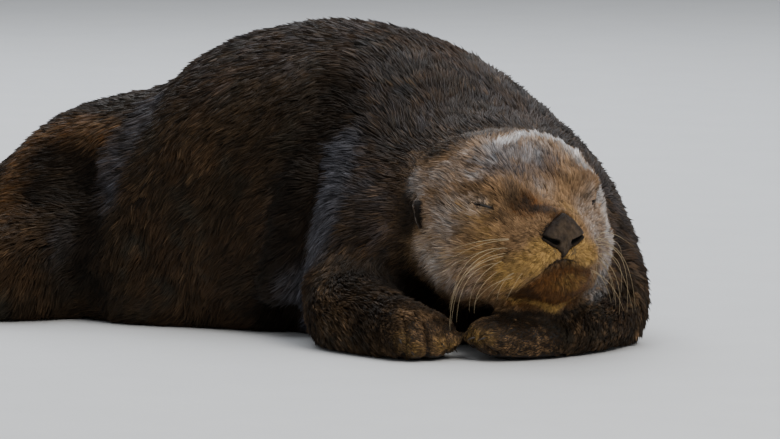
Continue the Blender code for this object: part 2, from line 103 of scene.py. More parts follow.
def ripple(points: Array, size: float, seed: int, waves: int = 9) -> Array:
    """A smooth seeded unevenness through space.

    Args:
        points: Places, one a row.
        size: The usual distance from one crest to the next, in metres.
        seed: Which unevenness.
        waves: How many plane waves make it up.

    Returns:
        About -1 to 1 for each place.
    """
    chance = np.random.default_rng(seed)
    headings = unit(chance.normal(size=(waves, 3)))
    steps = 2 * math.pi / size * chance.uniform(0.55, 1.7, waves)
    starts = chance.uniform(0, 2 * math.pi, waves)
    total = np.sin(points @ (headings * steps[:, None]).T + starts).sum(axis=1)
    return total / math.sqrt(waves)


def relaxed(values: Array, edges: Array, rounds: int, weight: float = 0.5) -> Array:
    """Evens values out over a mesh.

    Args:
        values: One number or one row for each point.
        edges: Pairs of neighbouring points.
        rounds: How many times each point moves towards its neighbours' mean.
        weight: How far it moves each time.

    Returns:
        The evened values, in the same layout.
    """
    count = len(values)
    table = values.reshape(count, -1).astype(float)
    ends = np.concatenate([edges, edges[:, ::-1]])
    degree = np.maximum(np.bincount(ends[:, 0], minlength=count), 1)
    for _ in range(rounds):
        for column in range(table.shape[1]):
            total = np.bincount(ends[:, 0], table[ends[:, 1], column], count)
            table[:, column] += weight * (total / degree - table[:, column])
    return table.reshape(values.shape)


def triangle_edges(triangles: Array) -> Array:
    """Each edge of a triangle mesh once, as two point numbers a row."""
    pairs = np.concatenate([triangles[:, [0, 1]], triangles[:, [1, 2]], triangles[:, [2, 0]]])
    return np.unique(np.sort(pairs, axis=1), axis=0)


def point_normals(points: Array, triangles: Array) -> Array:
    """The outward direction at each point of a triangle mesh.

    Args:
        points: Places, one a row.
        triangles: Three point numbers a row.

    Returns:
        One unit vector a point.
    """
    first, second, third = (points[triangles[:, corner]] for corner in range(3))
    facing = np.cross(second - first, third - first)
    total = np.zeros_like(points)
    for axis in range(3):
        for corner in range(3):
            total[:, axis] += np.bincount(triangles[:, corner], facing[:, axis], len(points))
    return unit(total)


def laid(flow: Array, normals: Array, turn: Array) -> Array:
    """Directions laid flat on a surface and turned on it, at length 1.

    Args:
        flow: The directions, one a row.
        normals: The surface's own directions outwards.
        turn: How far each one is turned, in radians.

    Returns:
        One direction a row.
    """
    flow = unit(flow - normals * (flow * normals).sum(axis=1)[:, None])
    side = np.cross(flow, normals)
    return unit(flow * np.cos(turn)[:, None] + side * np.sin(turn)[:, None])


def segment_distance(points: Array, route: Array) -> Array:
    """How far each place is from a route of straight stretches.

    Args:
        points: Places, one a row, in two or three axes.
        route: The route's own points, one a row, in the same axes.

    Returns:
        The shortest distance for each place.
    """
    nearest = np.full(len(points), np.inf)
    for start, end in zip(route[:-1], route[1:], strict=True):
        run = end - start
        share = np.clip((points - start) @ run / (run @ run), 0, 1)
        gap = np.linalg.norm(points - start - share[:, None] * run, axis=1)
        nearest = np.minimum(nearest, gap)
    return nearest


def tenths(places: tuple) -> Array:
    """Metres, from tenths of a millimetre."""
    return np.array(places) / 10000


def blob(points: Array, place: tuple, radii: tuple) -> Array:
    """A soft round mask: 1 at its place, falling smoothly to 0 past its radii."""
    reach = np.linalg.norm((points - np.array(place)) / np.array(radii), axis=1)
    return ease(1.35, 0.45, reach)


def triangle_mesh(name: str, points: Array, triangles: Array) -> Mesh:
    """Makes a smooth-shaded mesh from plain arrays.

    Args:
        name: The mesh's name.
        points: Places, one a row.
        triangles: Three point numbers a row.

    Returns:
        The mesh.
    """
    mesh = bpy.data.meshes.new(name)
    mesh.vertices.add(len(points))
    mesh.vertices.foreach_set("co", np.ascontiguousarray(points, np.float32).ravel())
    mesh.loops.add(3 * len(triangles))
    mesh.loops.foreach_set("vertex_index", np.ascontiguousarray(triangles, np.int32).ravel())
    mesh.polygons.add(len(triangles))
    mesh.polygons.foreach_set("loop_start", np.arange(0, 3 * len(triangles), 3, dtype=np.int32))
    mesh.update(calc_edges=True)
    mesh.shade_smooth()
    return mesh


def mesh_arrays(mesh: Mesh) -> tuple[Array, Array]:
    """Reads a mesh as plain arrays.

    Args:
        mesh: The mesh to read.

    Returns:
        Its points, and its faces as triangles.
    """
    points = np.empty(3 * len(mesh.vertices), np.float32)
    mesh.vertices.foreach_get("co", points)
    mesh.calc_loop_triangles()
    triangles = np.empty(3 * len(mesh.loop_triangles), np.int32)
    mesh.loop_triangles.foreach_get("vertices", triangles)
    return points.reshape(-1, 3).astype(float), triangles.reshape(-1, 3)


def keep_values(mesh: Mesh, name: str, *columns: Array) -> None:
    """Stores three columns of numbers, one row a point, for the mesh's material to read."""
    layer = mesh.attributes.new(name, "FLOAT_VECTOR", "POINT")
    layer.data.foreach_set("vector", np.stack(columns, axis=1).astype(np.float32).ravel())


def filled(bm: bmesh.types.BMesh, name: str) -> Mesh:
    """Turns a working mesh, which is used up, into a mesh.

    Args:
        bm: The working mesh.
        name: The new mesh's name.

    Returns:
        The mesh.
    """
    mesh = bpy.data.meshes.new(name)
    bm.to_mesh(mesh)
    bm.free()
    return mesh


def in_scene(name: str, data: bpy.types.ID) -> bpy.types.Object:
    """Puts an object with the given data in the scene.

    Args:
        name: The object's name.
        data: Its mesh, light or camera.

    Returns:
        The object.
    """
    thing = bpy.data.objects.new(name, data)
    bpy.context.scene.collection.objects.link(thing)
    return thing


def joined(parts: list) -> tuple[Array, Array]:
    """Joins separate shells into one.

    Args:
        parts: The points and the triangles of each shell.

    Returns:
        All points, and all triangles by their numbers.
    """
    starts = np.cumsum([0] + [len(points) for points, _ in parts])
    triangles = [faces + start for (_, faces), start in zip(parts, starts[:-1], strict=True)]
    return np.concatenate([points for points, _ in parts]), np.concatenate(triangles)


def grid_triangles(rows: int, columns: int, closed: bool) -> Array:
    """The triangles of a grid of points laid out row by row.

    Args:
        rows: How many rows.
        columns: How many points a row.
        closed: Whether each row joins end to end.

    Returns:
        Three point numbers a row.
    """
    across = columns if closed else columns - 1
    row, column = np.meshgrid(np.arange(rows - 1), np.arange(across), indexing="ij")
    here = (row * columns + column).ravel()
    beside = (row * columns + (column + 1) % columns).ravel()
    return np.concatenate([
        np.stack([here, beside, beside + columns], axis=1),
        np.stack([here, beside + columns, here + columns], axis=1),
    ])


def place_piece(mesh: Mesh, finish: "Finish", stands_for: tuple = ()) -> bpy.types.Object:
    """Puts a finished mesh in the scene as a piece of the animal, under the mesh's own name.

    Args:
        mesh: The piece's mesh, in place.
        finish: Its material.
        stands_for: The CAD nodes that it takes the place of.

    Returns:
        The piece.
    """
    mesh.materials.append(finish.material())
    piece = in_scene(mesh.name, mesh)
    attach(piece, "root")
    if stands_for:
        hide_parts(*stands_for)
    log.info("%s: %d triangles", piece.name, sum(len(face.vertices) - 2 for face in mesh.polygons))
    return piece


def box_place(box: tuple, share: tuple) -> Array:
    """A place, or a row of places, in a box, given as shares of its three sides."""
    low, high = (np.array(corner) for corner in box)
    return low + (high - low) * np.array(share)


def node_centre(name: str) -> Array:
    """The middle of a CAD node's box."""
    low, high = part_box(name)
    return np.array((low + high) / 2)


# --- the head's own axes


@dataclass(frozen=True)
class HeadAxes:
    """The head's own axes, from the middle of the skull: to the nose, to the animal's left, and up."""

    origin: Array
    axes: Array

    eye_forward: ClassVar[float] = 0.0455
    eye_out: ClassVar[float] = 0.0485
    eye_up: ClassVar[float] = 0.018

    @classmethod
    def from_eyes(cls) -> "HeadAxes":
        """Finds the axes from where the two eyes lie in the frame.

        Returns:
            The head's axes.
        """
        right, left = node_centre("eye_right"), node_centre("eye_left")
        leftward = unit(left - right)
        upward = np.array((0.0, 0.0, 1.0))
        forward = np.cross(leftward, upward)
        middle = (left + right) / 2
        origin = middle - forward * cls.eye_forward - upward * cls.eye_up
        return cls(origin, np.stack([forward, leftward, upward]))

    @classmethod
    def eye(cls, sign: int) -> Array:
        """The middle of the right eye, for -1, or the left, for 1, in the head's axes."""
        return np.array((cls.eye_forward, cls.eye_out * sign, cls.eye_up))

    def local(self, points: Array) -> Array:
        """Places in the head's own axes."""
        return (points - self.origin) @ self.axes.T

    def world(self, points: Array) -> Array:
        """Places in the frame, from places in the head's axes."""
        return points @ self.axes + self.origin

    def turned(self, directions: Array) -> Array:
        """Directions in the frame, from directions in the head's axes."""
        return directions @ self.axes


# --- skin


FLESH = (
    "head", "ear_right", "ear_left", "neck", "trunk_front", "trunk_middle", "trunk_rear", "tail",
    "foreleg_right", "foreleg_left", "forepaw_right", "forepaw_left",
    "hindleg_right", "hindleg_left", "hindfoot_right", "hindfoot_left",
)


@dataclass(frozen=True)
class Hair:
    """How the coat grows on one part of the body."""

    length: float
    width: float
    lift: float
    density: float
    depth: float
    clump: float


HAIR = {
    "neck": Hair(18 * MM, 1.15 * MM, 18, 0.56, 8.0 * MM, 6 * MM),
    "trunk": Hair(18 * MM, 1.20 * MM, 19, 0.48, 7.5 * MM, 5 * MM),
    "tail": Hair(15 * MM, 1.2 * MM, 16, 0.42, 5.0 * MM, 6 * MM),
    "foreleg": Hair(15 * MM, 1.0 * MM, 22, 0.72, 5.0 * MM, 4 * MM),
    "hindleg": Hair(17 * MM, 1.1 * MM, 23, 0.50, 5.0 * MM, 5 * MM),
    "forepaw": Hair(6.5 * MM, 0.7 * MM, 22, 1.35, 2.2 * MM, 2 * MM),
    "hindfoot": Hair(6 * MM, 1.1 * MM, 13, 0.62, 1.5 * MM, 4 * MM),
    "ear": Hair(3.2 * MM, 0.5 * MM, 14, 3.0, 0.5 * MM, 2 * MM),
}
HEAD_BACK = Hair(15 * MM, 0.75 * MM, 22, 1.50, 6.0 * MM, 3.5 * MM)
HEAD_TIP = Hair(4.2 * MM, 0.50 * MM, 14, 3.6, 1.3 * MM, 2 * MM)


def hair_of(node: str) -> Hair:
    """The coat of the part that a node's name starts with."""
    return next((hair for part, hair in HAIR.items() if node.startswith(part)), HEAD_BACK)


@dataclass
class Skin:
    """The one skin under the coat, with everything that the coat needs to know at each of its points."""

    head: HeadAxes
    voxel: float = 5.1 * MM
    overlap: float = 0.7 * MM
    floor_gap: float = 0.8 * MM
    points: Array = None
    triangles: Array = None
    edges: Array = None
    owners: Array = None
    local: Array = None
    normals: Array = None
    rim: Array = None
    inner: Array = None
    gaps: Array = None
    knobs: Array = None

    def closed_body(self) -> Mesh:
        """Joins the flesh, eyes and nose into one closed body without the parting cuts.

        Returns:
            A mesh of even quads.
        """
        whole = bmesh.new()
        for name in (FLESH[0], *FLESH[3:], "nose", "eye_right", "eye_left"):
            part = bmesh.new()
            part.from_mesh(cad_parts[name].data)
            bmesh.ops.remove_doubles(part, verts=part.verts, dist=1e-5)
            part.normal_update()
            for vert in part.verts:
                vert.co += vert.normal * self.overlap
            loose = filled(part, "part")
            whole.from_mesh(loose)
            bpy.data.meshes.remove(loose)
        return self.closed(filled(whole, "flesh"))

    def closed(self, mesh: Mesh) -> Mesh:
        """Turns a mesh that may cross itself into its closed outer surface.

        Args:
            mesh: The mesh, which is used up.

        Returns:
            A mesh of even quads.
        """
        thing = in_scene("flesh", mesh)
        remesh = thing.modifiers.new("remesh", "REMESH")
        remesh.mode = "VOXEL"
        remesh.voxel_size = self.voxel
        remesh.adaptivity = 0
        bpy.context.view_layer.update()
        shown = thing.evaluated_get(bpy.context.evaluated_depsgraph_get())
        closed = bpy.data.meshes.new_from_object(shown)
        bpy.data.objects.remove(thing)
        bpy.data.meshes.remove(mesh)
        return closed

    def refine(self, mesh: Mesh) -> None:
        """Gives the face finer and finer faces towards the eyes and the mouth.

        Args:
            mesh: The closed body, changed in place.
        """
        bm = bmesh.new()
        bm.from_mesh(mesh)
        keep_largest(bm)
        for level in range(4):
            near = self.wanted(bm, level)
            picked = [edge for edge in bm.edges if near[edge.verts[0].index] and near[edge.verts[1].index]]
            bmesh.ops.subdivide_edges(bm, edges=picked, cuts=1, use_grid_fill=True)
            bm.verts.ensure_lookup_table()
            bm.verts.index_update()
            inside = [vert for vert, is_near in zip(bm.verts, self.wanted(bm, level), strict=True) if is_near]
            axes = {f"use_axis_{axis}": True for axis in "xyz"}
            bmesh.ops.smooth_vert(bm, verts=inside, factor=0.5, **axes)
        bmesh.ops.triangulate(bm, faces=bm.faces)
        bm.to_mesh(mesh)
        bm.free()

    def wanted(self, bm: bmesh.types.BMesh, level: int) -> Array:
        """Which points need faces of one more halving.

        Args:
            bm: The body.
            level: 0 for the first halving.

        Returns:
            True for each point that does.
        """
        local = self.head.local(np.array([vert.co for vert in bm.verts]))
        ahead, side, height = local.T
        inside = (np.abs(side) < 0.11) & (np.abs(height) < 0.1) & (ahead < 0.12)
        if level == 0:
            return ((ahead > -0.012) & inside) | self.on_toes(local)
        if level == 1:
            return (ahead > 0.032) & inside
        reach = 0.0185 if level == 2 else 0.0145
        near = [np.linalg.norm(local - HeadAxes.eye(sign), axis=1) < reach for sign in SIDES.values()]
        if level == 2:
            near.append(Face.mouth_distance(local) < 0.006)
        return np.any(near, axis=0)

    def on_toes(self, local: Array) -> Array:
        """Whether each place lies on the front of a forepaw.

        Args:
            local: Places in the head's axes.

        Returns:
            True for each place that does.
        """
        points = self.head.world(local)
        found = np.zeros(len(points), bool)
        for side in SIDES:
            tips = PAWS[f"forepaw_{side}"].tips(f"forepaw_{side}")
            low = points[:, 2] < tips[:, 2].max() + 0.02
            found |= (segment_distance(points[:, :2], tips[:, :2]) < 0.030) & low
        return found

    def read(self, mesh: Mesh) -> Array:
        """Takes a mesh over as the skin.

        Args:
            mesh: The mesh, which is used up.

        Returns:
            How freely each point may move when the skin is evened out.
        """
        self.points, self.triangles = mesh_arrays(mesh)
        bpy.data.meshes.remove(mesh)
        self.edges = triangle_edges(self.triangles)
        self.local = self.head.local(self.points)
        self.owners = self.nearest_nodes()
        feet = [FLESH.index(node) for node in PAWS]
        firm = 0.9 * relaxed(np.isin(self.owners, feet).astype(float), self.edges, 4)
        return 1 - 0.85 * np.maximum(ease(0.0, 0.03, self.local[:, 0]) * self.on_head(), firm)

    def grow(self) -> None:
        """Makes the skin's points and triangles: closed, sunk by the coat's depth, refined and sculpted."""
        self.settle(self.read(self.closed_body()))
        self.sink()
        normals = unit(relaxed(point_normals(self.points, self.triangles), self.edges, 6))
        for band in FOLDS_AND_SHADE:
            self.points -= normals * band.press(self.points)[:, None]
        sunk = self.closed(triangle_mesh("sunk", self.points, self.triangles))
        self.refine(sunk)
        self.settle(self.read(sunk))
        self.normals = point_normals(self.points, self.triangles)
        self.part_toes()
        self.stand_clear()
        self.local = self.head.local(self.points)
        self.normals = point_normals(self.points, self.triangles)
        Face(self).sculpt()
        self.rim, self.inner = np.zeros((2, len(self.points)))
        for side, sign in SIDES.items():
            ear = Ear(node_centre(f"ear_{side}"), sign, self.head)
            self.join_ear(FLESH.index(f"ear_{side}"), *ear.shell())
        self.normals = point_normals(self.points, self.triangles)
        self.local = self.head.local(self.points)

    def stand_clear(self) -> None:
        """Keeps the skin just off the floor."""
        self.points[:, 2] = np.maximum(self.points[:, 2], self.floor_gap)

    def settle(self, loose: Array) -> None:
        """Evens the skin out, by the given share at each point."""
        self.points += (relaxed(self.points, self.edges, 8) - self.points) * loose[:, None]

    def join_ear(
        self, owner: int, points: Array, faces: Array, rim: Array, inner: Array
    ) -> None:
        """Adds an ear to the skin, rooted in the head.

        Args:
            owner: The ear's number in FLESH.
            points: Its points in the frame.
            faces: Its triangles.
            rim: 1 on its rim, 0 at its base.
            inner: 1 on its inner side.
        """
        start = len(self.points)
        added = {
            "points": points, "triangles": faces + start, "edges": triangle_edges(faces) + start,
            "owners": np.full(len(points), owner), "rim": rim, "inner": inner,
            "gaps": 0 * rim, "knobs": 0 * rim,
        }
        for name, values in added.items():
            setattr(self, name, np.concatenate([getattr(self, name), values]))

    def part_toes(self) -> None:
        """Presses a line between each two toes, and keeps where the gaps and the toes' ends are."""
        self.gaps, self.knobs = np.zeros((2, len(self.points)))
        flat = self.points[:, :2]
        for node, paw in PAWS.items():
            tips = paw.tips(node)
            mine = (self.owners == FLESH.index(node)).astype(float)
            ahead = np.array((*paw.heading, 0.0))
            for one, other in zip(tips[:-1], tips[1:], strict=True):
                end = (one + other) / 2
                line = np.stack([end - ahead * paw.gap, end + ahead * 0.02])[:, :2]
                gap = mine * bell(segment_distance(flat, line), paw.wide)
                self.points -= self.normals * (paw.press * gap)[:, None]
                self.gaps = np.maximum(self.gaps, gap)
            for tip in tips:
                away = np.linalg.norm(self.points - tip + ahead * 4 * MM, axis=1)
                self.knobs = np.maximum(self.knobs, mine * ease(0.014, 0.005, away))

    def on_head(self) -> Array:
        """1 for points in the head's own space, 0 for the others."""
        ahead, side, height = self.local.T
        return ((ahead > -0.06) & (ahead < 0.12) & (np.abs(side) < 0.11) & (height > -0.085)).astype(float)

    def nearest_nodes(self) -> Array:
        """Which part of the body each point belongs to.

        Returns:
            The number of the nearest flesh node for each point, as counted in FLESH.
        """
        corners, faces, owner = [], [], []
        for number, name in enumerate(FLESH):
            points, triangles = mesh_arrays(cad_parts[name].data)
            faces.extend((triangles + len(corners)).tolist())
            corners.extend(points.tolist())
            owner.extend([number] * len(triangles))
        tree = BVHTree.FromPolygons(corners, faces)
        return np.array([owner[tree.find_nearest(point)[2]] for point in self.points.tolist()])

    def measure(self, value: str) -> Array:
        """One of the coat's measures at each point, graded from the nose back over the head.

        Args:
            value: The name of a field of Hair.

        Returns:
            That measure for each point, with soft changes from part to part.
        """
        by_node = np.array([getattr(hair_of(name), value) for name in FLESH])
        body = relaxed(by_node[self.owners], self.edges, 14)
        back = ease(0.012, 0.115, np.linalg.norm(self.local - np.array((0.098, 0.0, -0.012)), axis=1))
        low, high = getattr(HEAD_TIP, value), getattr(HEAD_BACK, value)
        graded = low + (high - low) * back
        behind = ease(-0.03, -0.07, self.local[:, 0])
        return np.where(self.owners == 0, graded + (body - graded) * behind, body)

    def sink(self) -> None:
        """Moves each point inwards by the coat's depth, less where the animal lies on the floor."""
        depth = self.measure("depth")
        for _ in range(3):
            normals = relaxed(point_normals(self.points, self.triangles), self.edges, 2)
            pressed = ease(-0.35, -0.85, normals[:, 2]) * ease(0.03, 0.008, self.points[:, 2])
            share = 1 - 0.8 * pressed
            self.points -= normals * (depth * share / 3)[:, None]
        self.stand_clear()

    def dress(self, markings: "Markings", finish: "Finish") -> bpy.types.Object:
        """Makes the skin a piece of the model.

        Args:
            markings: The coat's markings, which the skin carries too.
            finish: The skin's material.

        Returns:
            The piece.
        """
        mesh = triangle_mesh("skin", self.points, self.triangles)
        markings.store(mesh, markings.values)
        shade = 0.5 + 0.25 * ripple(self.points, 0.02, 5)
        keep_values(mesh, "strand", shade, *np.zeros((2, len(shade))))
        piece = place_piece(mesh, finish, FLESH)
        bpy.context.view_layer.objects.active = piece
        piece.select_set(True)
        mesh.uv_layers.new(name="OFBake")
        bpy.ops.object.mode_set(mode="EDIT")
        bpy.ops.mesh.select_all(action="SELECT")
        bpy.ops.uv.smart_project(angle_limit=math.radians(66), island_margin=0.002)
        bpy.ops.object.mode_set(mode="OBJECT")
        return piece


def keep_largest(bm: bmesh.types.BMesh) -> None:
    """Removes every separate body but the one with most points.

    Args:
        bm: The mesh, changed in place.
    """
    unseen = set(bm.verts)
    bodies = []
    while unseen:
        todo = [unseen.pop()]
        body = list(todo)
        while todo:
            for edge in todo.pop().link_edges:
                for vert in edge.verts:
                    if vert in unseen:
                        unseen.remove(vert)
                        todo.append(vert)
                        body.append(vert)
        bodies.append(body)
    bodies.sort(key=len)
    for body in bodies[:-1]:
        bmesh.ops.delete(bm, geom=body, context="VERTS")
    bm.verts.ensure_lookup_table()
    bm.verts.index_update()


# --- bands, paws and ears


@dataclass(frozen=True)
class Band:
    """A soft band along the body, given by places in thousandths of the model's box."""

    route: tuple
    reach: float
    strength: float
    deep: float = 0.0

    def away(self, points: Array) -> Array:
        """How far each place is from the band's line, which runs just over the skin."""
        route = box_place(CAD_BOX, np.array(self.route) / 1000)
        return np.maximum(segment_distance(points, route) - 6 * MM, 0)

    def mask(self, points: Array) -> Array:
        """The band's strength at each place."""
        return self.strength * ease(self.reach, 0.2 * self.reach, self.away(points))

    def press(self, points: Array) -> Array:
        """How far the band sinks each place."""
        return self.deep * bell(self.away(points), 0.55 * self.reach)


# Routes along the body, in thousandths of the sides of the model's box.
SHOULDER_LINE = (
    (704, 393, 781), (705, 360, 710), (689, 312, 562), (682, 286, 418), (673, 281, 255), (654, 336, 96),
)
SHOULDER_RIM = (
    (727, 327, 621), (731, 258, 511), (716, 230, 393), (702, 235, 300), (692, 260, 211), (690, 275, 108),
    (686, 300, 40),
)
FLANK_LINE = (
    (455, 343, 422), (447, 332, 356), (447, 323, 295), (435, 315, 241), (433, 309, 182), (463, 293, 144),
)
FLANK_RIM = ((486, 481, 756), (485, 421, 690), (475, 386, 618), (470, 359, 521), (464, 344, 440))
THIGH_RIM = ((439, 322, 373), (432, 318, 290), (430, 298, 216))
HAUNCH_HOLLOW = ((390, 385, 545), (430, 385, 550), (431, 374, 440), (400, 345, 447))
HAUNCH_ARCH = ((442, 418, 641), (406, 431, 634), (375, 438, 606), (362, 387, 517), (365, 334, 392))
GROOVE_SHADE = ((675, 335, 780), (660, 270, 600), (650, 230, 420), (645, 235, 250), (640, 260, 100))
CHEEK_HOLLOW = ((760, 180, 279), (786, 166, 254), (795, 226, 220), (824, 235, 185))
ELBOW_GAP = ((761, 132, 246), (786, 85, 212), (812, 52, 165), (823, 31, 136), (830, 12, 60))
ELBOW = ((755, 91, 74), (748, 97, 143), (767, 87, 187))
UNDER_CHEEK = ((804, 60, 176), (814, 103, 212), (834, 102, 194), (856, 118, 169), (868, 110, 150))
LEFT_ARM = ((988, 302, 114), (983, 418, 190))

# Every band here paints shade into the dark mask: in the shoulder groove, the flank crease, the haunch
# hollow, the cheek hollow and the gap at the elbow, and cast shade beside the shoulder, under the cheek and
# over the left arm. Those with a depth also press the skin in.
FOLDS_AND_SHADE = (
    Band(SHOULDER_LINE, 30 * MM, 0.95, 8 * MM),
    Band(GROOVE_SHADE, 62 * MM, 0.5),
    Band(FLANK_LINE, 26 * MM, 0.95, 6 * MM),
    Band(HAUNCH_HOLLOW, 32 * MM, 0.95, 7 * MM),
    Band(CHEEK_HOLLOW, 20 * MM, 0.85, 4 * MM),
    Band(ELBOW_GAP, 18 * MM, 0.75, 3 * MM),
    Band(UNDER_CHEEK, 28 * MM, 0.6),
    Band(LEFT_ARM, 45 * MM, 0.3),
)
# Painted sheen: blue-grey strips of painted sky reflection along the rims of the shoulder, the flank and the
# thigh.
PAINTED_SHEEN = (
    Band(SHOULDER_RIM, 26 * MM, 0.95), Band(FLANK_RIM, 20 * MM, 0.6), Band(THIGH_RIM, 12 * MM, 0.4),
)


@dataclass(frozen=True)
class Paw:
    """How the toes of one paw or foot lie."""

    heading: tuple
    toes: int
    front: float
    gap: float
    press: float
    wide: float
    claw: float

    def tips(self, node: str) -> Array:
        """Finds the end of each toe on the CAD node.

        Args:
            node: The paw's node.

        Returns:
            One place a toe, in order across the paw.
        """
        points, _ = mesh_arrays(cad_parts[node].data)
        ahead = points[:, :2] @ np.array(self.heading)
        across = points[:, :2] @ np.array((-self.heading[1], self.heading[0]))
        near = ahead > ahead.max() - self.front
        points, ahead, across = points[near], ahead[near], across[near]
        steps = np.linspace(across.min(), across.max() + 1e-6, self.toes + 1)
        found = []
        for low, high in zip(steps[:-1], steps[1:], strict=True):
            slot = np.flatnonzero((across >= low) & (across < high))
            best = points[slot[ahead[slot].argmax()]]
            level = points[np.linalg.norm(points[:, :2] - best[:2], axis=1) < 0.006, 2].mean()
            found.append((best[0], best[1], level))
        return np.array(found)


FOREPAW = (4, 0.022, 0.019, 3.4 * MM, 2.6 * MM, 3.6 * MM)
HINDFOOT = (5, 0.065, 0.070, 2.0 * MM, 5.0 * MM, 8.0 * MM)
PAWS = {
    "forepaw_right": Paw((0.70, -0.71), *FOREPAW),
    "forepaw_left": Paw((-0.75, -0.66), *FOREPAW),
    "hindfoot_right": Paw((-0.99, -0.12), *HINDFOOT),
    "hindfoot_left": Paw((-0.68, -0.73), *HINDFOOT),
}


@dataclass(frozen=True)
class Ear:
    """A small rolled leaf of skin that opens forwards."""

    centre: Array
    sign: int
    head: HeadAxes
    height: float = 24 * MM
    radius: float = 6.0 * MM
    thick: float = 1.6 * MM
    turn: float = 118.0
    ahead: float = 5 * MM
    inward: float = 4.0 * MM
    buried: float = 0.66
    rows: int = 12
    columns: int = 23

    def shell(self) -> tuple[Array, Array, Array, Array]:
        """Builds the ear as one closed shell: up its outer side, over the rim and down its inner side.

        Returns:
            Its points in the frame, its triangles, how near its rim each point is, and which lie inside.
        """
        opening = unit(np.array((0.88, 0.47 * self.sign, 0.0)))
        upward = unit(np.array((-0.16, 0.14 * self.sign, 1.0)))
        across = np.cross(upward, opening)
        angle = np.radians(np.linspace(-self.turn, self.turn, self.columns))[None, :]
        out = np.abs(angle) / math.radians(self.turn)
        share = np.linspace(0, 1, self.rows)[:, None]
        top = self.height * (1 - 0.42 * out**2.4)
        width = self.radius * (0.50 + 1.0 * share - 0.62 * share**2)
        thick = self.thick * np.sqrt(np.clip(1.02 - out**4, 0, 1)) * (1 - 0.45 * share)
        sheets = []
        for part, reach in ((share, width), (share[::-1], width[::-1] - thick[::-1])):
            lean = 0.10 * self.height * part**2
            sheets.append(
                (part * top)[..., None] * upward
                + (lean - np.cos(angle) * reach)[..., None] * opening
                + (np.sin(angle) * reach)[..., None] * across
            )
        seat = np.array((self.ahead, 0, 0)) - upward * self.height * self.buried
        base = self.head.local(self.centre) + seat - np.array((0.0, self.sign, 0.0)) * self.inward
        local = np.concatenate(sheets).reshape(-1, 3) + base
        triangles = grid_triangles(2 * self.rows, self.columns, closed=False)
        if self.sign > 0:
            triangles = triangles[:, ::-1]
        rim = np.concatenate([share + 0 * angle, share[::-1] + 0 * angle]).ravel()
        rim = np.maximum(rim, np.tile(out.ravel(), 2 * self.rows))
        inner = np.repeat((0.0, 1.0), self.rows * self.columns)
        return self.head.world(local), triangles, ease(0.72, 0.95, rim), inner


# --- face


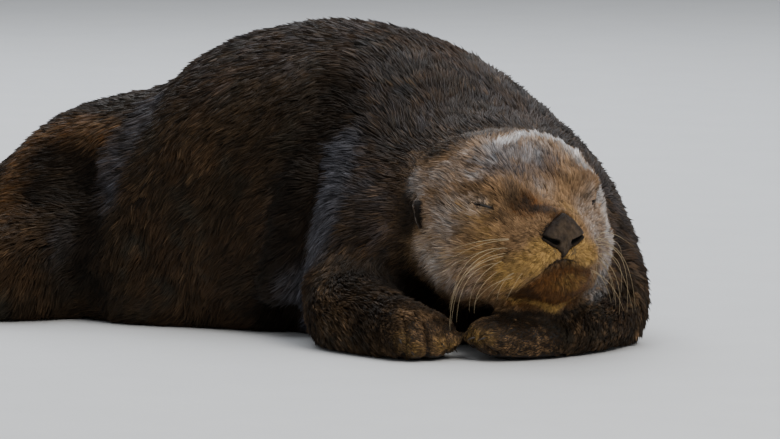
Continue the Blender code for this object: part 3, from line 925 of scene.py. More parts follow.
@dataclass
class Face:
    """Lids, mouth, lips, nose bed and folds, worked into the skin."""

    skin: Skin
    lid_radius: float = 9.9 * MM
    eyeball_radius: float = 8.5 * MM
    slit_length: float = 8.6 * MM
    slit_open: float = 0.36 * MM
    cheek_tuck: float = 6.5 * MM
    mouth_depth: float = 2.4 * MM
    mouth_width: float = 1.9 * MM

    nose_place: ClassVar[tuple] = (0.088, 0.002, -0.0085)
    rim_turns: ClassVar[tuple] = (-90, -85, -73, -49, -17.5, -8.3, -1.3, 9.2, 34.4, 69.4, 90)
    rim_reaches: ClassVar[tuple] = (19.3, 17.6, 14.0, 12.6, 17.6, 20.2, 20.8, 19.4, 17.0, 18.0, 20.2)
    mouth_right: ClassVar[Array] = np.array((
        (0.000, -0.0285), (-0.003, -0.0289), (-0.0132, -0.0331), (-0.0224, -0.0436), (-0.0299, -0.0506),
        (-0.0343, -0.0570),
    ))
    mouth_left: ClassVar[Array] = np.array((
        (0.000, -0.0285), (0.0072, -0.0284), (0.0156, -0.0304), (0.0264, -0.0335), (0.0360, -0.0385),
        (0.0430, -0.0450),
    ))
    creases: ClassVar[tuple] = ((5.5, 0.4, 1.0), (-4.5, 0.5, 1.2), (11.8, 1.2, 1.8), (-8.0, 0.5, 1.5))

    @classmethod
    def mouth_distance(cls, local: Array) -> Array:
        """How far each place is from the mouth line, seen from in front, and far away off the muzzle."""
        right, left = (segment_distance(local[:, 1:], side) for side in (cls.mouth_right, cls.mouth_left))
        return np.where(local[:, 0] > 0.05, np.minimum(right, left), 1.0)

    @classmethod
    def mouth_fade(cls, local: Array) -> Array:
        """How plain the mouth line is: 1 in its middle, fading towards both corners."""
        right, left = ease(-0.030, -0.010, local[:, 1]), ease(0.024, 0.006, local[:, 1])
        return np.where(local[:, 1] < 0, 0.3 + 0.7 * right, left)

    @classmethod
    def nose_rim(cls, across: Array, height: Array) -> Array:
        """How far the nose pad's rim lies from the pad's middle in each direction."""
        turn = np.degrees(np.arctan2(height, np.abs(across)))
        return np.interp(turn, cls.rim_turns, cls.rim_reaches) * MM

    @classmethod
    def nose_share(cls, local: Array) -> Array:
        """How far out each place is across the nose pad: 0 in its middle, 1 on its rim, 9 off the muzzle."""
        across, height = (local[:, axis] - cls.nose_place[axis] for axis in (1, 2))
        return np.where(local[:, 0] > 0.06, np.hypot(across, height) / cls.nose_rim(across, height), 9.0)

    def eye_view(self, sign: int, local: Array) -> tuple[Array, Array, Array]:
        """Places seen from one eye: outwards, along the lids towards the nose, and up.

        Args:
            sign: -1 for the right eye, 1 for the left.
            local: Places in the head's axes.

        Returns:
            The three measures from the eyeball's middle.
        """
        turn = math.atan2(HeadAxes.eye_out, HeadAxes.eye_forward)
        out = np.array((math.cos(turn), math.sin(turn) * sign, 0.0))
        inward = np.array((math.sin(turn), -math.cos(turn) * sign, 0.0))
        offset = local - HeadAxes.eye(sign)
        return offset @ out, offset @ inward, offset[:, 2]

    def slit_gap(self, sign: int, local: Array) -> tuple[Array, Array]:
        """How far above the closed lids' line each place is, and how open the line is there.

        Args:
            sign: -1 for the right eye, 1 for the left.
            local: Places in the head's axes.

        Returns:
            The height over the line, and the line's half opening.
        """
        out, inward, height = self.eye_view(sign, local)
        share = inward / self.slit_length
        line = -0.6 * MM - 0.185 * inward - 20 * inward**2
        opening = self.slit_open * np.sqrt(np.clip(1 - share**2, 0, 1))
        far = (out < 0) | (np.abs(share) > 1.6)
        return np.where(far, 1.0, height - line), opening

    def eye_distance(self, local: Array) -> Array:
        """How far each place is from the rim of the nearest closed eye.

        Args:
            local: Places in the head's axes.

        Returns:
            The distance for each place.
        """
        gaps = []
        for sign in SIDES.values():
            _, inward, _ = self.eye_view(sign, local)
            above, opening = self.slit_gap(sign, local)
            beyond = np.maximum(np.abs(inward) - self.slit_length, 0)
            gaps.append(np.hypot(np.maximum(np.abs(above) - opening, 0), beyond))
        return np.minimum(*gaps)

    def sculpt(self) -> None:
        """Works every feature into the skin."""
        self.push(-self.cheek_tuck * blob(self.skin.local, (-0.004, -0.090, -0.030), (0.055, 0.040, 0.055)))
        self.bed_nose()
        self.shape_lips()
        self.fold_brows()
        self.close_lids()

    def push(self, amount: Array) -> None:
        """Moves the skin's points out along their normals, and reads the head's axes again."""
        self.skin.points += self.skin.normals * amount[:, None]
        self.skin.local = self.skin.head.local(self.skin.points)

    def bed_nose(self) -> None:
        """Sinks the skin behind the nose pad, with a soft rim round it."""
        local = self.skin.local.copy()
        share = self.nose_share(local)
        inside = ease(1.10, 0.9, share)
        bed = np.minimum(local[:, 0], self.nose_place[0] - 1.0 * MM)
        local[:, 0] += (bed - local[:, 0]) * inside
        self.skin.points = self.skin.head.world(local)
        self.skin.local = local
        self.push(bell(share - 1.25, 0.16) * 1.6 * MM)

    def shape_lips(self) -> None:
        """Presses the mouth line in and rounds the whisker pads and the chin beside it."""
        local = self.skin.local
        away = self.mouth_distance(local)
        groove = np.where(away < 0.02, -self.mouth_depth * bell(away, self.mouth_width), 0)
        groove *= self.mouth_fade(local)
        pads = sum(blob(local, (0.084, side, -0.026), (0.022, 0.020, 0.014)) for side in (-0.024, 0.024))
        chin = blob(local, (0.082, 0.0, -0.056), (0.022, 0.030, 0.012))
        self.push(groove + pads * 2.0 * MM + chin * 1.6 * MM)

    def fold_brows(self) -> None:
        """Presses the creases over and under the closed lids, and the brow."""
        depth = np.zeros(len(self.skin.points))
        for sign in SIDES.values():
            out, inward, _ = self.eye_view(sign, self.skin.local)
            above, _ = self.slit_gap(sign, self.skin.local)
            fade = ease(0.016, 0.008, np.abs(inward)) * (out > 0)
            for line, deep, wide in self.creases:
                bow = line * MM * (1 - (inward / 0.03) ** 2)
                depth -= deep * MM * fade * bell(above - bow, wide * MM)
        self.push(depth)

    def close_lids(self) -> None:
        """Domes the lids over the eyeballs and opens the thin line between them."""
        local = self.skin.local.copy()
        for sign in SIDES.values():
            offset = local - HeadAxes.eye(sign)
            reach = np.linalg.norm(offset, axis=1)
            out, inward, height = self.eye_view(sign, local)
            near = (out > 0) & (reach < 0.02)
            dome = ease(12.5 * MM, 6.5 * MM, np.hypot(inward, height)) * near
            above, opening = self.slit_gap(sign, local)
            lips = 0.25 * MM * bell(np.abs(above) - opening - 1.0 * MM, 0.8 * MM)
            wanted = self.lid_radius + lips
            open_here = ease(0.5 * MM, -0.1 * MM, np.abs(above) - opening) * (opening > 0)
            wanted = wanted + (self.eyeball_radius - 1.6 * MM - wanted) * open_here
            share = np.maximum(dome, open_here * near)
            local += (unit(offset) * wanted[:, None] - offset) * share[:, None]
        self.skin.points = self.skin.head.world(local)
        self.skin.local = local


# --- markings


# How strongly single tufts differ in each colour.
STREAKS = {"tan": 0.9, "pale": 0.5, "dark": 0.45, "ginger": 0.7, "rust": 0.9, "slate": 0.7}
# Routes on the head, in tenths of a millimetre along its axes.
CROWN = ((210, -220, 660), (140, 0, 700), (100, 200, 710), (120, 410, 660), (210, 580, 520))
TEMPLE = ((50, -680, 500), (140, -590, 550), (230, -380, 600), (280, -240, 610))
BROW_EDGE = ((240, 460, 600), (310, 600, 440), (340, 720, 220))
CHEEK_EDGE = ((300, 720, 300), (440, 710, -10), (460, 700, -270), (400, 620, -500))
BRIDGE_LINE = ((670, -260, 120), (720, -207, 116), (764, -114, 126), (860, -60, 130))
SMUDGE = ((587, -533, 70), (640, -463, 54), (700, -390, 60))
CHIN_RIM = (
    (630, -405, -625), (685, -327, -649), (775, -238, -655), (775, -88, -697), (730, 50, -730),
    (765, 200, -690), (759, 271, -639), (738, 383, -533),
)
RUFF = ((0.004, -0.086, -0.040), (0.046, 0.034, 0.040))

# Each spot: its place and its radii in tenths of a millimetre along the head's axes, and its strength.
SPOTS = {
    "tan": (),
    "pale": (
        ((260, -50, 560), (260, 550, 160), 0.13), ((-220, -770, 300), (260, 180, 120), 0.2),
        ((160, -680, 380), (280, 180, 140), 0.22), ((400, -590, 400), (180, 180, 80), 0.18),
        ((300, -820, 0), (340, 260, 340), 0.2), ((40, -800, -360), (320, 220, 300), 0.27),
        ((380, -740, -460), (300, 220, 240), 0.22), ((700, 450, 40), (260, 200, 300), 0.15),
        ((670, 0, 290), (180, 160, 90), 0.1), ((460, -660, 150), (200, 180, 120), 0.24),
    ),
    # Dark: dark markings beside the nose bridge and round the eyes; on the chin, dark fur mixed with painted
    # shade; and painted shade over the right eye's upper crease, under the chin, under the head and behind
    # the right ear.
    "dark": (
        ((645, -285, 190), (150, 125, 125), 0.7), ((620, 340, 220), (120, 100, 100), 0.2),
        ((450, 190, 460), (200, 130, 180), 0.22), ((470, 460, 380), (200, 120, 120), 0.2),
        ((530, -595, 318), (80, 80, 38), 0.45), ((805, -275, -575), (200, 170, 90), 0.6),
        ((850, 88, -582), (200, 180, 70), 0.4), ((640, -180, -770), (200, 300, 60), 0.9),
        ((-380, -840, 20), (160, 200, 220), 0.85), ((40, -920, -200), (100, 120, 200), 0.3),
        ((300, 0, -820), (600, 600, 140), 0.7),
    ),
    "ginger": (
        ((920, -170, -205), (200, 160, 110), 0.7), ((910, -300, -300), (200, 180, 130), 0.75),
        ((780, -420, -400), (200, 180, 150), 0.55), ((910, 190, -240), (180, 180, 130), 0.7),
        ((840, 160, 100), (160, 120, 140), 0.35), ((600, -620, -180), (280, 200, 240), 0.25),
        ((500, -620, 100), (220, 180, 140), 0.3), ((60, -840, -340), (450, 260, 400), 0.22),
    ),
    "rust": (
        ((760, -160, 140), (180, 160, 90), 0.3), ((840, 120, 120), (140, 120, 100), 0.4),
        ((680, -195, 165), (140, 120, 130), 0.75), ((450, 190, 460), (200, 130, 180), 0.32),
        ((470, 460, 380), (200, 120, 120), 0.3),
    ),
    "slate": (
        ((625, -310, 300), (100, 80, 70), 0.4), ((440, -120, 510), (300, 500, 240), 0.78),
    ),
}
# Each line: its route, how far it reaches in metres, and its strength.
LINES = {
    "pale": (
        (CROWN, 0.0122, 1.0), (TEMPLE, 0.0085, 0.40), (BROW_EDGE, 0.018, 0.55), (CHEEK_EDGE, 0.030, 0.42),
    ),
    "dark": ((BRIDGE_LINE, 0.0075, 0.6), (SMUDGE, 0.0080, 0.42)),
    # A thin ginger line along the chin's lower edge: a painted highlight on yellowish fur.
    "ginger": ((CHIN_RIM, 0.0066, 0.85),),
    "rust": ((BRIDGE_LINE, 0.014, 0.6),),
}
# Bands: the elbow's tan band is a painted patch of light; the dark bands are painted shade; the slate bands
# are painted sheen.
BANDS = {
    "tan": (Band(ELBOW, 26 * MM, 0.22), Band(HAUNCH_ARCH, 28 * MM, 0.3)),
    "dark": FOLDS_AND_SHADE,
    "slate": PAINTED_SHEEN,
    "rust": (Band(HAUNCH_ARCH, 28 * MM, 0.35),),
}
# How often tufts catch a tan light on each part.
LIT = {"foreleg": 0.40, "forepaw": 1.0, "neck": 0.22, "trunk": 0.10, "hindleg": 0.16, "hindfoot": 0.3}


@dataclass
class Markings:
    """The coat's colours, with painted shade, painted sheen and painted light among them, as soft masks over
    the body, shared by the skin and every tuft.
    """

    skin: Skin
    values: dict = field(default_factory=dict)

    def build(self) -> None:
        """Works every mask out at the skin's points."""
        skin, local = self.skin, self.skin.local
        edge = 0.45 * ripple(skin.points, 0.035, 11) + 0.35 * ripple(skin.points, 0.011, 12)
        masks = {name: self.painted(name) for name in SPOTS}
        rim = ease(-0.058, -0.066, local[:, 2])
        # Painted shade is lifted where the painted sheen strips lie.
        masks["dark"] = masks["dark"] * (1 - 0.8 * np.max([band.mask(skin.points) for band in PAINTED_SHEEN], axis=0))
        masks["ginger"] = masks["ginger"] * (1 - self.below_mouth() * (1 - rim))
        chin = 0.95 * self.below_mouth() * ease(-0.076, -0.064, local[:, 2])
        haunch = tuple(box_place(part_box("hindleg_right"), (0.10, 0.15, 0.45)))
        # Painted sky sheen: slate on the upward-facing top of the back and over the neck and the shoulder.
        back = 0.20 * ease(0.55, 0.95, skin.normals[:, 2]) * ease(0.12, 0.24, skin.points[:, 2])
        more = {
            "pale": [0.4 * skin.rim * (1 - 0.5 * skin.inner)],
            "dark": self.hollows(),
            # The ginger blob on the chin is a painted highlight.
            "ginger": [0.28 * skin.knobs, 0.3 * blob(local, (0.085, 0.012, -0.047), (0.018, 0.018, 0.008))],
            "rust": [chin, 0.35 * blob(skin.points, haunch, (0.05, 0.06, 0.06))],
            "slate": [back, self.shares({"neck": 0.26, "trunk_front": 0.11})],
        }
        for name, mask in masks.items():
            mask = self.lit(mask) if name == "tan" else np.maximum.reduce([mask, *more[name]])
            mask = np.clip(mask, 0, 1)
            self.values[name] = np.clip(mask + edge * mask * (1 - mask), 0, 1)

    def painted(self, name: str) -> Array:
        """What a colour's spots, lines and bands give together.

        Args:
            name: The colour.

        Returns:
            A share from 0 to 1 for each point.
        """
        local, points = self.skin.local, self.skin.points
        masks = [np.zeros(len(points))]
        for place, radii, strength in SPOTS[name]:
            masks.append(strength * blob(local, tenths(place), tenths(radii)))
        for route, reach, strength in LINES.get(name, ()):
            away = segment_distance(local, tenths(route))
            masks.append(strength * ease(reach, 0.3 * reach, away))
        masks.extend(band.mask(points) for band in BANDS.get(name, ()))
        return np.max(masks, axis=0)

    def lit(self, painted: Array) -> Array:
        """Tan fur: the whole face and head, fading over the neck, and lit tufts here and there.

        Args:
            painted: What the tan spots, lines and bands give.

        Returns:
            The whole tan mask.
        """
        local, points = self.skin.local, self.skin.points
        mask = self.shares({"head": 1.0, "ear": 0.9, "neck": 0.05, "forepaw": 0.36})
        below = 0.8 * blob(local, (0.03, 0.0, -0.088), (0.07, 0.07, 0.022))
        behind = 0.75 * ease(-0.006, -0.040, local[:, 0]) * ease(0.066, 0.030, local[:, 2])
        hairline = np.interp(local[:, 1], [-0.07, -0.045, -0.022, 0.02], [0.000, 0.014, 0.013, 0.006])
        top = 0.85 * ease(0.002, -0.018, local[:, 0] - hairline) * ease(0.042, 0.054, local[:, 2])
        light = 0.8 * ripple(points, 0.030, 51) + ripple(points, 0.009, 52)
        lit = self.shares(LIT) * ease(0.0, 1.6, light)
        lit = np.maximum(lit, painted) * (1 - mask)
        return np.maximum((mask - below) * (1 - np.maximum(behind, top)), 0) + lit

    def hollows(self) -> list:
        """Painted shade in the mouth line, the lids' line, the ears' cups, between the toes, just under the
        mouth and low on the chin, and a darker upward-facing nape.

        Returns:
            A mask for each.
        """
        skin, local = self.skin, self.skin.local
        return [
            0.8 * ease(2.6 * MM, 0.6 * MM, Face.mouth_distance(local)) * Face.mouth_fade(local),
            self.shares({"neck": 0.24}) * ease(0.3, 0.8, skin.normals[:, 2]),
            0.9 * ease(1.2 * MM, 0.4 * MM, Face(skin).eye_distance(local)),
            0.5 * skin.inner * (1 - skin.rim),
            0.5 * skin.gaps,
            0.6 * self.under_mouth(0.0, 9.0),
            0.28 * self.below_mouth() * ease(-0.068, -0.060, local[:, 2]),
        ]

    def shares(self, share: dict) -> Array:
        """The value under the start of each part's name, or 0, at each point, evened out where parts meet."""
        parts = [next((share[part] for part in share if name.startswith(part)), 0.0) for name in FLESH]
        return relaxed(np.array(parts)[self.skin.owners], self.skin.edges, 24)

    def height_under(self) -> Array:
        """How far under the mouth line each point is.

        Returns:
            The height for each point.
        """
        right, left = Face.mouth_right, Face.mouth_left
        sides, heights = (np.concatenate([right[::-1, axis], left[1:, axis]]) for axis in (0, 1))
        return np.interp(self.skin.local[:, 1], sides, heights) - self.skin.local[:, 2]

    def below_mouth(self) -> Array:
        """The chin: everything under the mouth line, with soft edges.

        Returns:
            A share from 0 to 1 for each point.
        """
        ahead, side, _ = self.skin.local.T
        wide = ease(0.043, 0.028, np.abs(side))
        return ease(-1.5 * MM, 6.0 * MM, self.height_under()) * wide * ease(0.045, 0.06, ahead)

    def under_mouth(self, start: float, end: float) -> Array:
        """A shadow just under the mouth line.

        Args:
            start: How far under it the shadow is darkest, in millimetres.
            end: How far under it the shadow ends, in millimetres.

        Returns:
            A share from 0 to 1 for each point.
        """
        under = self.height_under() / MM
        ahead, side, _ = self.skin.local.T
        fade = ease(start - 1.5, start + 0.5, under) * ease(end, start + 1.0, under)
        return fade * ease(0.022, 0.008, np.abs(side - 0.002)) * ease(0.06, 0.07, ahead)

    def store(self, mesh: Mesh, values: dict) -> None:
        """Writes the masks, a value a point under each mask's name, as two attributes of three numbers."""
        keep_values(mesh, "marks_a", *(values[name] for name in ("tan", "pale", "dark")))
        keep_values(mesh, "marks_b", *(values[name] for name in ("ginger", "rust", "slate")))


# --- lie of the coat


# How strongly gravity turns the strokes down on the flanks of each part.
FALL = {"neck": 0.35, "trunk_front": 0.85, "trunk_middle": 1.3, "trunk_rear": 0.55}


@dataclass
class Comb:
    """Which way the coat lies at each point of the skin."""

    skin: Skin
    swirl: float = 0.30

    def strokes(self) -> dict:
        """The direction in which each part is combed.

        Returns:
            A direction for each flesh node.
        """
        down = np.array((0.0, 0.0, -1.0))
        middle = {name: node_centre(name) for name in FLESH}
        tailward = unit(middle["tail"] - middle["trunk_middle"])
        backward = unit(middle["trunk_front"] - middle["head"])
        way = {
            "neck": backward,
            "trunk_front": 0.65 * backward + 0.35 * tailward,
            "trunk_middle": tailward,
            "trunk_rear": tailward,
            "tail": unit(middle["tail"] - middle["trunk_rear"]),
        }
        limbs = (("foreleg", "forepaw", 0.7, 0.8), ("hindleg", "hindfoot", 1, 0.5))
        for side in SIDES:
            for limb, end, share, fall in limbs:
                along = unit(middle[f"{end}_{side}"] - middle[f"{limb}_{side}"])
                way[f"{limb}_{side}"] = share * along + fall * down
                way[f"{end}_{side}"] = along
        return way

    def head_flow(self, local: Array) -> Array:
        """How the head is combed: out from the nose, back over the crown, and down on the cheeks.

        Args:
            local: Places in the head's axes.

        Returns:
            Directions in the head's axes.
        """
        flow = unit(local - np.array((0.105, 0.0, -0.010)))
        flow[:, 0] -= 0.55
        flow[:, 2] -= 0.35 * ease(0.01, -0.06, local[:, 2])
        return unit(flow)

    def build(self) -> Array:
        """Combs the whole skin.

        Returns:
            One direction along the skin for each point.
        """
        skin = self.skin
        way = self.strokes()
        on_head = skin.owners == 0
        flow = np.array([unit(way.get(name, np.array((0.0, 0.0, 1.0)))) for name in FLESH])[skin.owners]
        drop = np.array([FALL.get(name, 0.0) for name in FLESH])[skin.owners]
        across = unit(np.cross((0.0, 0.0, 1.0), flow))
        flow[:, 2] -= drop * np.abs((skin.normals * across).sum(axis=1))
        flow[on_head] = skin.head.turned(self.head_flow(skin.local[on_head]))
        body = flow
        for _ in range(6):
            body = laid(relaxed(body, skin.edges, 18), skin.normals, np.zeros(len(body)))
        keep = (on_head & (skin.local[:, 0] > -0.02))[:, None]
        turn = self.swirl * (ripple(skin.points, 0.09, 21) + 0.6 * ripple(skin.points, 0.035, 22))
        return laid(np.where(keep, flow, body), skin.normals, turn)

# --- coat


class CoatPart(Enum):
    """The coat's pieces, each with the flesh nodes that it grows on and its slot."""

    HEAD = ("coat_head", ("head",), "head_fur")
    NECK = ("coat_neck", ("neck",), "body_fur")
    SHOULDER = ("coat_shoulder", ("trunk_front",), "body_fur")
    BACK = ("coat_back", ("trunk_middle",), "body_fur")
    RUMP = ("coat_rump", ("trunk_rear",), "body_fur")
    TAIL = ("coat_tail", ("tail",), "body_fur")
    FORELEG = ("coat_foreleg", ("foreleg_right", "foreleg_left"), "body_fur")
    HINDLEG = ("coat_hindleg", ("hindleg_right", "hindleg_left"), "body_fur")
    PAW = ("coat_paw", ("forepaw_right", "forepaw_left", "ear_right", "ear_left"), "paw_fur")
    FOOT = ("coat_foot", ("hindfoot_right", "hindfoot_left"), "paw_fur")


@dataclass
class Coat:
    """Tufts over the whole skin: thin closed locks that taper to a point and lie along the body."""

    skin: Skin
    markings: Markings
    flow: Array
    unwrap: Array
    seed: int = 7
    bend: float = 13.0
    kink: float = 0.48
    stray: float = 0.16
    roll: float = 0.35
    gathered: float = 0.45
    root_depth: float = 0.4 * MM
    floor_gap: float = 0.4 * MM
    triangle: Array = None
    share: Array = None

    def sow(self) -> None:
        """Spreads the tufts' roots over the skin, as dense as each part's coat is."""
        skin = self.skin
        chance = np.random.default_rng(self.seed)
        first, second, third = (skin.points[skin.triangles[:, corner]] for corner in range(3))
        area = np.linalg.norm(np.cross(second - first, third - first), axis=1) / 2
        density = skin.measure("density") * self.bare_places()
        weight = area / MM**2 * density[skin.triangles].mean(axis=1)
        total = weight.cumsum()
        count = int(total[-1])
        picks = (np.arange(count) + chance.random(count)) / count * total[-1]
        self.triangle = np.searchsorted(total, picks).clip(0, len(weight) - 1)
        first = np.sqrt(chance.random(count))
        second = chance.random(count)
        self.share = np.stack([1 - first, first * (1 - second), first * second], axis=1)

    def bare_places(self) -> Array:
        """Thins the coat to nothing on the nose bed, in the mouth line, on the lids and under the body.

        Returns:
            A share from 0 to 1 for each point of the skin.
        """
        skin = self.skin
        share = ease(0.90, 1.02, Face.nose_share(skin.local))
        mouth = ease(1.2 * MM, 0.3 * MM, Face.mouth_distance(skin.local))
        share *= 1 - mouth * Face.mouth_fade(skin.local)
        share *= ease(0.8 * MM, 1.7 * MM, Face(skin).eye_distance(skin.local))
        share *= 1 - skin.inner
        pressed = ease(-0.5, -0.9, skin.normals[:, 2]) * ease(0.022, 0.012, skin.points[:, 2])
        return share * (1 - pressed)

    def trimmed(self) -> Array:
        """How much of its length the coat keeps at each point: less round the ears and the eyes.

        Returns:
            A share for each point of the skin.
        """
        skin = self.skin
        share = np.ones(len(skin.points))
        for side in SIDES:
            away = np.linalg.norm(skin.points - node_centre(f"ear_{side}"), axis=1)
            beside = skin.owners != FLESH.index(f"ear_{side}")
            share *= 1 - 0.55 * ease(0.026, 0.012, away) * beside
        ahead, _, height = skin.local.T
        chin = 0.45 * ease(-0.050, -0.064, height) * (ahead > 0.03)
        share *= 1 + 0.15 * blob(skin.local, *RUFF) - chin
        return share * (1 - 0.72 * ease(0.011, 0.002, Face(skin).eye_distance(skin.local)))

    def at_roots(self, values: Array) -> Array:
        """Reads one number or row for each point of the skin at the roots."""
        share = self.share if values.ndim == 1 else self.share[:, :, None]
        return (values[self.skin.triangles[self.triangle]] * share).sum(axis=1)

    def gather(self, places: Array, tips: Array) -> tuple[Array, Array]:
        """Draws the tips of neighbouring tufts together into locks.

        Args:
            places: The roots' places.
            tips: The tips' places.

        Returns:
            The new tips, and the number of the tuft that each one leans to.
        """
        chance = np.random.default_rng(self.seed + 1)
        clump = self.at_roots(self.skin.measure("clump"))
        density = self.at_roots(self.skin.measure("density"))
        leader = chance.random(len(places)) < 1 / np.maximum(density * (clump / MM) ** 2, 1.5)
        numbers = np.flatnonzero(leader)
        tree = KDTree(len(numbers))
        for number in numbers.tolist():
            tree.insert(places[number], number)
        tree.balance()
        nearest = np.array([tree.find(place)[1] for place in places])
        pull = self.gathered * chance.uniform(0.5, 1.3, len(places))[:, None]
        return tips + (tips[nearest] - tips) * pull, nearest

    def shapes(self, chance: np.random.Generator) -> tuple[Array, Array, Array]:
        """Shapes every tuft: its root, its two sides and its tip.

        Args:
            chance: The random draws.

        Returns:
            Four places a tuft, four shading directions, and the tuft that each one leans to.
        """
        skin, count = self.skin, len(self.triangle)
        places = self.at_roots(skin.points)
        normals = unit(self.at_roots(skin.normals))
        flow = laid(self.at_roots(self.flow), normals, chance.normal(0, self.stray, count))
        side = np.cross(flow, normals)
        length = self.at_roots(skin.measure("length") * self.trimmed()) * chance.uniform(0.70, 1.25, count)
        width = self.at_roots(skin.measure("width")) * chance.uniform(0.65, 1.35, count)
        raised = skin.measure("lift") + 8 * blob(skin.local, *RUFF)
        lift = np.radians(self.at_roots(raised) * chance.uniform(0.5, 1.45, count))
        steep = lift + math.radians(self.bend)
        rise = flow * np.cos(steep)[:, None] + normals * np.sin(steep)[:, None]
        reach = flow * np.cos(lift)[:, None] + normals * np.sin(lift)[:, None]
        places = places - normals * self.root_depth
        tips, leader = self.gather(places, places + reach * length[:, None])
        middles = places + rise * (self.kink * length)[:, None]
        middles += (tips - places - reach * length[:, None]) * 0.3
        roll = chance.normal(0, self.roll, count)[:, None]
        across = side * np.cos(roll) + normals * np.sin(roll)
        above = unit(np.cross(across, tips - places))
        half = (width / 2)[:, None]
        points = np.stack([places, middles - across * half, middles + across * half, tips], axis=1)
        points[:, :, 2] = np.maximum(points[:, :, 2], self.floor_gap)
        soft = unit(0.5 * above + 0.5 * normals)
        facing = [soft, unit(soft - 0.8 * across), unit(soft + 0.8 * across), unit(soft + 0.35 * flow)]
        return points, np.stack(facing, axis=1), leader

    def colours(self, chance: np.random.Generator, leader: Array) -> tuple[dict, Array, Array]:
        """Gives every tuft its own share of each marking, its shade and its glint.

        Args:
            chance: The random draws.
            leader: The tuft that each one leans to, and takes after.

        Returns:
            The markings by name, the shades, and the glints, with a value for each tuft.
        """
        count = len(leader)
        own, shared = chance.normal(size=(2, count))
        shade = np.clip(0.5 + 0.15 * own + 0.17 * shared[leader], 0, 1)
        glint = (chance.random(count) < 0.05) * chance.uniform(0.3, 1.0, count)
        marks = {}
        for name, mask in self.markings.values.items():
            own, shared = chance.normal(size=(2, count))
            odds = 0.7 * own + 0.6 * shared[leader]
            soft = self.at_roots(mask)
            marks[name] = np.clip(soft + STREAKS[name] * odds * soft * (1 - soft), 0, 1)
        return marks, shade, glint

    def build(self, finish: "Finish") -> None:
        """Grows the coat and makes its pieces.

        Args:
            finish: The coat's material.
        """
        skin = self.skin
        self.sow()
        chance = np.random.default_rng(self.seed + 2)
        points, facing, leader = self.shapes(chance)
        marks, shade, glint = self.colours(chance, leader)
        owners = skin.owners[skin.triangles[self.triangle, 0]]
        pinned = (self.unwrap[self.triangle] * self.share[:, :, None]).sum(axis=1)
        along = np.array((0.0, 0.55, 0.55, 1.0))
        for part in CoatPart:
            name, nodes, slot = part.value
            mine = np.flatnonzero(np.isin(owners, [FLESH.index(node) for node in nodes]))
            parcels = max(1, math.ceil(len(mine) / MOST_TUFTS))
            order = mine[np.argsort(points[mine, 0] @ skin.head.axes[1], kind="stable")]
            for number, parcel in enumerate(np.array_split(order, parcels), 1):
                label = f"{name}_{number}" if parcels > 1 else name
                mesh = self.locks(label, points[parcel], facing[parcel], pinned[parcel])
                self.markings.store(mesh, {key: np.repeat(mask[parcel], 4) for key, mask in marks.items()})
                strand = np.repeat(shade[parcel], 4), np.tile(along, len(parcel)), np.repeat(glint[parcel], 4)
                keep_values(mesh, "strand", *strand)
                place_piece(mesh, finish, nodes)

    def locks(self, name: str, points: Array, facing: Array, pinned: Array) -> Mesh:
        """Makes one mesh of many tufts, each a closed bent sliver of four triangles.

        Args:
            name: The mesh's name.
            points: Four places a tuft: root, left, right and tip.
            facing: Four shading directions a tuft.
            pinned: The place of each root on the skin's unwrap.

        Returns:
            The mesh, with its OFBake map.
        """
        root, left, right, tip = range(4)
        shape = np.array(((root, right, left), (tip, left, right), (root, left, tip), (root, tip, right)))
        triangles = (np.arange(len(points))[:, None, None] * 4 + shape).reshape(-1, 3)
        mesh = triangle_mesh(name, points.reshape(-1, 3), triangles)
        patch = np.array(((0.0, -0.5), (-0.5, 0.0), (0.5, 0.0), (0.0, 0.5))) * PATCH
        spots = (pinned[:, None, :] + patch).reshape(-1, 2)
        layer = mesh.uv_layers.new(name="OFBake")
        layer.uv.foreach_set("vector", np.ascontiguousarray(spots[triangles.ravel()], np.float32).ravel())
        mesh.normals_split_custom_set_from_vertices(facing.reshape(-1, 3).astype(np.float32))
        return mesh


# --- eyes, nose, claws, whiskers


@dataclass
class Eyes:
    """Dark eyeballs behind the closed lids."""

    radius: float = 8.5 * MM
    rings: int = 24
    segments: int = 36

    def build(self, finish: "Finish") -> None:
        """Makes both eyeballs.

        Args:
            finish: The eye's material.
        """
        for side in SIDES:
            bm = bmesh.new()
            bmesh.ops.create_uvsphere(bm, u_segments=self.segments, v_segments=self.rings, radius=self.radius)
            bmesh.ops.translate(bm, verts=bm.verts, vec=Vector(node_centre(f"eye_{side}")))
            mesh = filled(bm, f"eyeball_{side}")
            mesh.shade_smooth()
            place_piece(mesh, finish, (f"eye_{side}",))


